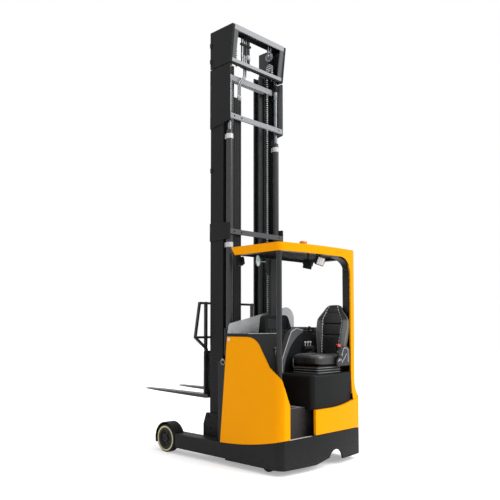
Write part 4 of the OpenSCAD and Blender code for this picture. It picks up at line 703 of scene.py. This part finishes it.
# Floor and step: a ribbed rubber mat on the floor plate, a dull riser behind it,
# and a pressed aluminium tread on the deck below the step.
def matted(tree):
    """Colour by height: pale stripes 25 mm apart on top, partly worn rib tops and partly painted highlight on the ribs,
    dark riser below.
    """
    spot = axes(tree)
    top = blend(tree, spread(tree, ripple(tree, spot["Y"], 0.025), -0.2, 0.2), "5a5856", "b9b7b3")
    return blend(tree, spread(tree, spot["Z"], 0.598, 0.603), "252122", top)


dress(rubber("floor_rubber", matted, "3d3836", 0.35), "cab_floor")


def deck_height(x):
    """Deck line: a circle of 3.7 m radius that meets the leg tops 0.925 m from the rear."""
    return 0.22 + 3.7 - np.sqrt(3.7 ** 2 - (x - rear - 0.925) ** 2)


rib_pitch, rib_h, rib_half, tread_t = 0.0165, 0.0016, 0.034, 0.0055
tread_x, tread_y = (rear + 0.042, rear + 0.129), (0.19, 0.519)


def ribbed_tread():
    """Tread: the deck line raised by the tread's thickness, with ribs of a clipped sine across its middle,
    over an underside that follows the deck; each end is a strip between the two."""
    x = np.linspace(*tread_x, 45)[:, None]
    y = np.linspace(*tread_y, 160)[None, :]
    rib = np.clip(np.sin(y * 2 * np.pi / rib_pitch) * 3, -1, 1) * (np.abs(x - sum(tread_x) / 2) < rib_half)
    top = xyz(x, y, deck_height(x) + tread_t + rib_h * rib)
    low = xyz(x, y, deck_height(x) + 0.0005)
    ends = [(np.stack([low[0], top[0]]), False), (np.stack([top[-1], low[-1]]), False)]
    return [np.concatenate([top, low[:, ::-1]], 1)] + ends


# Painted reflection: the aluminium tread is a pale non-metal paint that stands in for its bright reflection.
tread = painted("tread_pale_reflection", "d8d6d2", 0.45, 0.4, "f0efec", tone=0.2, shine=0.4)
piece("step_tread", ribbed_tread(), tread, smooth=30)

# Seat base: pleated rubber bellows over the suspension, with moulded covers over
# the recliner hinges and a short belt stalk that ends in a red-topped buckle.
lo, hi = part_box("seat_base")


def pleated(tree):
    """Colour by height: a pale line every 25 mm up the bellows, painted highlight on the pleat crests, black elsewhere.
    """
    z = axes(tree)["Z"]
    fold = ripple(tree, both(tree, z, 0.915, "SUBTRACT"), 0.025)
    return blend(tree, both(tree, spread(tree, fold, 0.5, 0.8), spread(tree, z, 0.9895, 0.989)), "131314", "999a9c")


# Painted highlight: pale lines on the bellows stand in for light on the pleat crests.
dress(moulded("bellows_rubber_highlights", pleated, 0.42, 0.2, "3a3a3c", 0.3), "seat_base")


def domed(outline, rings, face, way):
    """Moulded covers: the outline (y, z), corners rounded, is drawn in towards its middle by each ring's
    share and stands off the face at x by the ring's height."""
    y, z = np.asarray(outline, float).T
    flat = xyz(0, y, z)
    path = bent(np.concatenate([flat[-1:], flat, flat[:1]]), 0.012, 5)[1:-1]
    middle = path.mean(0)
    share, height = np.asarray(rings, float).T
    grid = middle + share[:, None, None] * (path - middle)
    grid[..., 0] = face + way * height[:, None]
    return grid


outline = [(-0.245, 0.985), (-0.468, 0.985), (-0.468, 1.13), (-0.435, 1.178), (-0.365, 1.183), (-0.335, 1.125),
           (-0.245, 1.04)]
rings = [(0, -0.002), (1, -0.002), (1, 0.008), (0.985, 0.0125), (0.94, 0.015), (0.5, 0.0165), (0, 0.017)]
ridges = [[(-0.252, 1.026), (-0.328, 1.118), (-0.345, 1.16), (-0.384, 1.17), (-0.424, 1.148), (-0.428, 1.02)],
          [(-0.318, 1.016), (-0.37, 1.068), (-0.398, 1.106)], [(-0.27, 1.032), (-0.312, 1.082), (-0.33, 1.098)]]
knob = [(0, 0.028), (0.009, 0.028), (0.0125, 0.024), (0.0125, 0.014), (0, 0.014)]
covers, lines, studs = [], [], []
for face, way in ((lo.x, -1), (hi.x, 1)):
    covers.append(domed(outline, rings, face, way))
    for ridge in ridges:
        run = bent([(face + way * 0.0165, y, z) for y, z in ridge], 0.014)
        lines.append(tube(run, 0.0042, (1, 0, 0), 8))
    studs.append(lathe(knob, (face, -0.292, 1.044), "x", way, 20))
piece("recliner_covers", covers, grey_mould)
piece("recliner_ridges", lines, trim_and_highlight_grey)
piece("recliner_knobs", studs, zinc)
grip = bent([(rear + 0.4, -0.02, 0.966), (rear + 0.4, 0.05, 0.966), (rear + 0.39, 0.062, 1.062)], 0.016)
piece("slide_lever", [tube(grip, 0.005, (1, 0, 0), 10)], zinc)
webbing = rubber("belt_webbing", "1c1c1e", "4a4a4c", 0.5)
# The belt is a flat section of four corners carried up a line that leans in by a squared sine.
t = np.linspace(0, 1, 24)[:, None]
wide, thick = 0.02 * np.array([-1, 1, 1, -1]), 0.0012 * np.array([-1, -1, 1, 1])
stalk = xyz(lo.x - 0.0225 + thick + 0.008 * np.sin(np.pi * t / 2) ** 2, -0.30 + wide + 0.035 * t, 1.06 + 0.11 * t)
piece("belt_stalk", [stalk, (stalk[[0, -1]].reshape(2, 2, 2, 3), False)], webbing)
hold = np.array([lo.x - 0.014, -0.263, 1.18])
buckle = soft_box(hold - (0.012, 0.029, 0.034), hold + (0.012, 0.029, 0.018), 0.006)
piece("belt_buckle", [buckle], gloss_mould)
button = soft_box(hold + (-0.0125, -0.026, -0.002), hold + (0.010, 0.026, 0.028), 0.005)
piece("buckle_button", [button], moulded("buckle_red", "d4342b", 0.35, 0.5))

# Seat cushion and back: foam pads in black leather. Sewn channels part the middle
# panel from the side bolsters, with pale piping and stitches along them.
group, take = effect("leather_grain", {"Scale": (VALUE, 420.0)}, {"Height": VALUE, "Tone": VALUE})
where = place(group)
stir = add(group, "TexNoise", {"Vector": where, "Scale": 60.0, "Detail": 3.0}).outputs["Color"]
warped = add(group, "VectorMath", {0: where, 1: dimmed(group, stir, 0.004)}, operation="ADD").outputs[0]
cell = add(group, "TexVoronoi", {"Vector": warped, "Scale": take["Scale"]}, feature="DISTANCE_TO_EDGE")
crease = noise(group, where, 26.0, 6.0)
pebble = spread(group, cell.outputs["Distance"], 0.0, 0.12)
feed(group, {"Height": both(group, pebble, crease, "ADD"), "Tone": crease})


def leather(name, color, side_mask, side_color, seam_mask=None):
    """Leather: pebbled grain, shinier where rubbed, with a lighter colour where the side mask is, partly a greyer hide
    and partly painted sheen, and thread where the seam mask is."""
    made, tree = material(name, {"Specular IOR Level": 0.5, "Coat Weight": 0.25, "Coat Roughness": 0.22})
    hide = use(tree, "leather_grain", {})
    dark = dimmed(tree, tint(color), spread(tree, hide["Tone"], 0.3, 0.7, 0.85, 1.2))
    color = blend(tree, side_mask(tree), dark, side_color)
    color = blend(tree, seam_mask(tree), color, "dededc") if seam_mask else color
    feed(tree, {"Base Color": color, "Roughness": spread(tree, hide["Tone"], 0.3, 0.7, 0.26, 0.42),
                "Normal": bump(tree, 0.3, 0.0007, hide["Height"])})
    return made


def power(value, e):
    """Value raised to e with its sign kept."""
    return np.sign(value) * np.abs(value) ** e


lo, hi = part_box("seat_back")
seat_x, back_y, back_z, back_h, back_t = (lo.x + hi.x) / 2, hi.y, lo.z + 0.0067, 0.61, 0.085
lean, panel_share, seam_t = math.radians(4.5), 0.6, (0.282, 0.402, 0.525)
panel_dip, channel_dip, seam_dip = 0.013, 0.008, 0.009
key_t = (0, 0.004, 0.014, 0.03, 0.06, 0.17, 0.25, 0.34, 0.385, 0.42, 0.445, 0.465, 0.5, 0.53, 0.56, 0.585,
         0.6, 0.607, 0.61)
key_w = (0.1, 0.14, 0.155, 0.162, 0.168, 0.182, 0.197, 0.208, 0.2105, 0.2105, 0.207, 0.197, 0.166, 0.137,
         0.112, 0.096, 0.078, 0.06, 0.03)


def thinning(t):
    """Share of its thickness that the back has lost at a height t, more towards the top."""
    return 0.42 * np.clip((t - 0.2) / 0.41, 0, 1) ** 1.3


def back_surface():
    """Seat back: round each height goes a squared ellipse, powers of cosine and sine, of the half width between
    the key points and a thickness that shrinks upwards. Its front is pressed in by a smooth step over the
    middle panel, a bell curve along the panel's edge and one for each cross seam, and all of it leans."""
    t = np.unique(np.r_[np.linspace(0, back_h, 150), key_t])
    half = np.interp(t, key_t, key_w)
    soft = np.interp(np.minimum(t, back_h - t), [0, 0.006, 0.02, 0.045], [0.2, 0.62, 0.88, 1.0])
    turn = np.linspace(0, 2 * np.pi, 144, endpoint=False)[None, :]
    s = half[:, None] * power(np.cos(turn), 0.42)
    thin = 1 - thinning(t)[:, None]
    d = -back_t + back_t / 2 * thin + soft[:, None] * (back_t / 2 - 0.001) * thin * power(np.sin(turn), 0.5)
    front = np.clip(np.sin(turn), 0, 1) ** 0.4
    share, up = np.abs(s) / half[:, None], t[:, None]
    middle = 1 / (1 + np.exp((share - panel_share) * 45))
    channel = np.exp(-((share - panel_share) / 0.035) ** 2)
    seams = sum(np.exp(-((up - level) / 0.006) ** 2) for level in seam_t) * middle
    swell = np.sin(np.clip((up - 0.03) / 0.55, 0, 1) * np.pi)
    d = d - front * swell * (panel_dip * middle + channel_dip * channel + seam_dip * seams)
    return xyz(seat_x + s, back_y + d * math.cos(lean) - up * math.sin(lean),
               back_z + up * math.cos(lean) + d * math.sin(lean))


def panel_edge(tree, spot):
    """Distance from the seat's middle line, and that of the panel's edge at this height."""
    off = add(tree, "Math", {0: both(tree, spot["X"], seat_x, "SUBTRACT")}, operation="ABSOLUTE").outputs[0]
    foot, full, neck = panel_share * np.interp((0.06, 0.385, 0.585), key_t, key_w)
    low = spread(tree, spot["Z"], back_z + 0.06, back_z + 0.385, foot, full)
    high = spread(tree, spot["Z"], back_z + 0.45, back_z + 0.585, 0.0, full - neck)
    return off, both(tree, low, high, "SUBTRACT")


def back_thread(tree):
    """Stitches: two lines of long stitches up the back's front, inside the bolsters."""
    spot = axes(tree)
    lean_y = both(tree, both(tree, spot["Z"], back_z, "SUBTRACT"), math.tan(lean))
    ahead = spread(tree, both(tree, spot["Y"], lean_y, "ADD"), back_y - 0.075, back_y - 0.065)
    stitch = spread(tree, ripple(tree, spot["Z"], 0.03), -0.6, -0.5)
    return both(tree, both(tree, near(tree, *panel_edge(tree, spot), 0.004), stitch), ahead)


def bolster(tree):
    """Lighter grey on the side bolsters and down the sides of the back, partly a greyer hide and partly painted sheen.
    """
    spot = axes(tree)
    past = both(tree, *panel_edge(tree, spot), "SUBTRACT")
    low = spread(tree, spot["Z"], back_z + 0.45, back_z + 0.43)
    return both(tree, spread(tree, past, 0.006, 0.03), low)


# The bolsters' lighter grey is partly a greyer hide and partly painted sheen.
black_hide = leather("black_hide", "1a1a1c", bolster, "707072", back_thread)
back_pad = piece("seat_back_pad", [capped(back_surface())], black_hide, smooth=60)
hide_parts("seat_back")

lo, hi = np.array(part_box("seat_cushion"))
a, b, c = (hi - lo) / 2
square, crown, panel_x, seam_y = 0.32, 1.22, 0.112, 0.02


def cushion_surface():
    """Cushion: a squared ball, powers of cosine and sine, with a raised crown. Its top is pressed in by bell
    curves along the seams and by a dish between smooth steps, and falls a little towards the front."""
    tilt = np.linspace(-np.pi / 2, np.pi / 2, 90)[:, None]
    turn = np.linspace(0, 2 * np.pi, 160, endpoint=False)[None, :]
    rise = power(np.cos(tilt), square)
    px = a * rise * power(np.cos(turn), square)
    py = b * rise * power(np.sin(turn), square)
    pz = np.where(tilt > 0, crown * c * power(np.sin(tilt), 0.72), c * power(np.sin(tilt), 0.35)) + 0 * turn
    over = np.clip(np.sin(tilt), 0, 1) ** 0.5
    cross_seam = np.exp(-((py - seam_y) / 0.007) ** 2) * (np.abs(px) < panel_x)
    edge_seam = np.exp(-((np.abs(px) - panel_x) / 0.008) ** 2) + cross_seam
    dish = 1 / (1 + np.exp((np.abs(px) - 0.105) * 220)) / (1 + np.exp((np.abs(py + 0.02) - 0.165) * 90))
    pz = pz - over * (0.008 * edge_seam + 0.01 * dish)
    pz = pz - np.clip((py / b + 0.2) / 1.2, 0, 1) * 0.004 * over
    return (lo + hi) / 2 + xyz(px, py, pz)


def top_painted_sheen(tree):
    """Painted sheen: a lighter grey on the upper faces, in broad patches, that stands in for highlights on the hide."""
    face = axes(tree, add(tree, "NewGeometry").outputs["Normal"])["Z"]
    patch = noise(tree, place(tree), 6.0, 1.0)
    return both(tree, spread(tree, face, 0.35, 0.8), spread(tree, patch, 0.35, 0.65, 0.35, 1.0))


# Painted sheen: the cushion's upper faces are coloured lighter grey in patches.
hide = leather("cushion_hide_sheen", "1d1d1f", top_painted_sheen, "545456")
cushion = piece("seat_cushion_pad", [cushion_surface()], hide, smooth=60)
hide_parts("seat_cushion")

# The piping runs up both sides of the back, just inside its outline and behind its front face.
up = np.linspace(0.05, 0.575, 60)
half = 0.965 * np.interp(up, key_t, key_w)
depth = back_t * (0.15 + thinning(up))
lines = [tube(xyz(seat_x + side * half, back_y - depth - up * math.sin(lean), back_z + up * math.cos(lean)),
              0.0032, n=8) for side in (1, -1)]
piece("seat_piping", lines, moulded("pale_piping", "8f8f8e", 0.4))

# Controls: chromed lever stalks with pale knobs on a black gate, and a key switch
# with its ring beside the driver's knee.
gate_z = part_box("control_levers")[0].z + 0.070


def levered(tree):
    """Colour by height: black gate below, bright stalks and knobs above."""
    return blend(tree, spread(tree, axes(tree)["Z"], gate_z, gate_z + 0.0005), "242527", "c4c6c8")


dress(painted("lever_finish", levered, 0.3, 0.2, "dcdddf", tone=0.1, shine=0.6), "control_levers")
lock = np.array([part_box("front_hood")[0].x, 0.205, 1.165])
drum = [(0, 0.014), (0.011, 0.014), (0.014, 0.01), (0.014, 0), (0, 0)]
bend = np.linspace(0, 2 * np.pi, 32)
loop = lock + xyz(-0.02 + 0.003 * np.cos(bend), 0.018 * np.sin(bend), -0.045 + 0.026 * np.cos(bend))
key = soft_box(lock + (-0.04, -0.0015, -0.012), lock + (-0.012, 0.0015, 0.012), 0.001)
piece("key_switch", [lathe(drum, lock, "x", -1, 24), tube(loop, 0.0022, (1, 0.01, 0), 8), key],
      zinc)

# Overhead guard: a rim and rear pillar pressed from sheet in the body's yellow, with black painted
# shade on its underside and round its opening, over slats and posts of tube and flat bar in charcoal coat.
lo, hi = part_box("guard_roof")
arc_x, arc_y, arc_r = rear + 0.045 + 3.453, -0.25, 3.453
rim_t, rim_h = 0.066, 0.0864


def guard_painted_shade(tree):
    """Colour of the guard with painted shade: black on its underside and on the faces round its opening."""
    spot = axes(tree)
    face = axes(tree, add(tree, "NewGeometry").outputs["True Normal"])
    off = reach(tree, both(tree, spot["Y"], arc_y, "SUBTRACT"), both(tree, spot["X"], arc_x, "SUBTRACT"))
    marks = [spread(tree, off, arc_r - rim_t, arc_r - rim_t - 0.003),
             spread(tree, spot["Y"], hi.y - rim_t, hi.y - rim_t - 0.003),
             spread(tree, spot["Y"], lo.y + rim_t, lo.y + rim_t + 0.003),
             spread(tree, spot["Z"], hi.z - rim_h, hi.z - rim_h + 0.001)]
    hole = both(tree, both(tree, marks[0], marks[1]), both(tree, marks[2], marks[3]))
    under = spread(tree, face["Z"], -0.5, -0.6)
    return blend(tree, both(tree, hole, under, "MAXIMUM"), amber_yellow, "161617")


# Painted shade: the guard's underside and the faces round its opening are coloured black.
dress(painted("guard_gloss", guard_painted_shade, 0.34, 0.1, "e0a010", tone=0.03, shine=0.04, edge_r=0.01),
      "guard_roof")
post_coat = painted("post_coat", "2a2b2d", 0.4, 0.2, "75767a", tone=0.08, shine=0.25)
dress(post_coat, "guard_posts")
dress(charcoal, "guard_bars")
# The liner's outline is a corner closed by a quarter of an ellipse, carried along x.
inner_y, under_z, liner_w, liner_h = -0.5365, hi.z - 0.085, 0.25, 0.14
sweep = np.linspace(0, np.pi / 2, 20)
arc = np.stack([inner_y + liner_w * (1 - np.sin(sweep)), under_z - liner_h * (1 - np.cos(sweep))], -1)
arc = np.concatenate([[[inner_y, under_z]], arc])
side = xyz([[rear + 0.1], [rear + 0.19]], arc[:, 0], arc[:, 1])
tips = side[:, :1].repeat(len(arc), 1)
piece("corner_liner", [np.concatenate([tips[:1], side, tips[1:]])], post_coat, smooth=30)

# Work lamps: finned black die-cast housings on swivel brackets under the guard, each
# tipped down, with a clear lens over a pale reflector.
lens, tree = material("lamp_lens", {"Roughness": 0.2, "Specular IOR Level": 0.4})
flute = add(tree, "TexWave", {"Vector": place(tree), "Scale": 30.0, "Distortion": 0.0}).outputs["Fac"]
feed(tree, {"Base Color": blend(tree, flute, "bdb5b2", "f0ebe8"), "Normal": bump(tree, 0.4, 0.001, flute)})


def turned(grid, where, turn, tip, roll):
    """Tip a grid down about x and roll it about y, turn it about z (degrees), and move it to its place."""
    about_z, about_x, about_y = (np.array(Matrix.Rotation(math.radians(angle), 3, axis))
                                 for angle, axis in ((turn, "Z"), (tip, "X"), (roll, "Y")))
    return grid @ (about_z @ about_x @ about_y).T + where


bar_under, pane_half = 2.139, 0.038
case = [soft_box((-0.045, -0.012, -0.045), (0.045, 0.03, 0.045), 0.008)]
case += [soft_box((x - 0.0028, -0.036, -0.036), (x + 0.0028, -0.008, 0.036), 0.002)
         for x in np.linspace(-0.034, 0.034, 7)]
case += [soft_box((x, -0.014, -0.012), (x + 0.009, 0.014, 0.05), 0.003) for x in (-0.052, 0.043)]
# Each lens swells by the product of a parabola across and a parabola up.
slab = soft_box((-pane_half, 0.024, -pane_half), (pane_half, 0.034, pane_half), 0.005, 5)
swell = np.clip(1 - (slab[..., 0] / pane_half) ** 2, 0, 1) * np.clip(1 - (slab[..., 2] / pane_half) ** 2, 0, 1)
slab[..., 1] += 0.006 * swell * (slab[..., 1] > 0.029)
cases, glasses = [], []
for spot, turn, tip, roll in (((rear + 0.184, 0.069, 2.022), -135, -24, 14), ((rear + 0.15, -0.08, 2.06), 58, -12, -16),
                              ((rear + 0.71, 0.521, 2.055), -90, -10, 0)):
    cases += [turned(shape, spot, turn, tip, roll) for shape in case]
    glasses.append(turned(slab, spot, turn, tip, roll))
    stem = np.linspace((spot[0], spot[1], spot[2] + 0.035), (spot[0], spot[1], bar_under), 8)
    cases.append(tube(stem, 0.008, n=12))
housing = piece("lamp_housings", cases, gloss_mould)
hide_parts("work_lamps")
piece("lamp_lenses", glasses, lens)

# Beacon and mirror: a ribbed amber dome on a brown base on the guard, and a round
# convex mirror on an arm from the front post's gusset.
base_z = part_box("beacon")[0].z + 0.046
amber, tree = material("amber_dome", {"Roughness": 0.16, "Specular IOR Level": 0.6, "Coat Weight": 0.4})
z = axes(tree)["Z"]
ridge = ripple(tree, z, 0.006)
glow = blend(tree, spread(tree, ridge, -1.0, 1.0), "c96f06", "ec9a22")
feed(tree, {"Base Color": blend(tree, spread(tree, z, base_z - 0.0005, base_z + 0.0005), "b8730c", glow),
            "Normal": bump(tree, 0.3, 0.001, ridge)})
dress(amber, "beacon")
# Painted reflection: the mirror's face is mostly a pale diffuse colour, with only a third of it metal, standing in for
# what it reflects. Its back is dark.
silver, tree = material("mirror_painted_reflection", {})
mirror_turn = math.radians(21)
facing = add(tree, "VectorMath", {0: add(tree, "NewGeometry").outputs["True Normal"],
                                  1: (-math.cos(mirror_turn), -math.sin(mirror_turn), 0)}, operation="DOT_PRODUCT")
ahead = spread(tree, facing.outputs["Value"], 0.8, 0.82)
feed(tree, {"Base Color": blend(tree, ahead, "1f2022", "c9d8d2"), "Metallic": both(tree, ahead, 0.3),
            "Roughness": spread(tree, noise(tree, place(tree), 20.0), 0.3, 0.7, 0.05, 0.14)})
dress(silver, "convex_mirror")
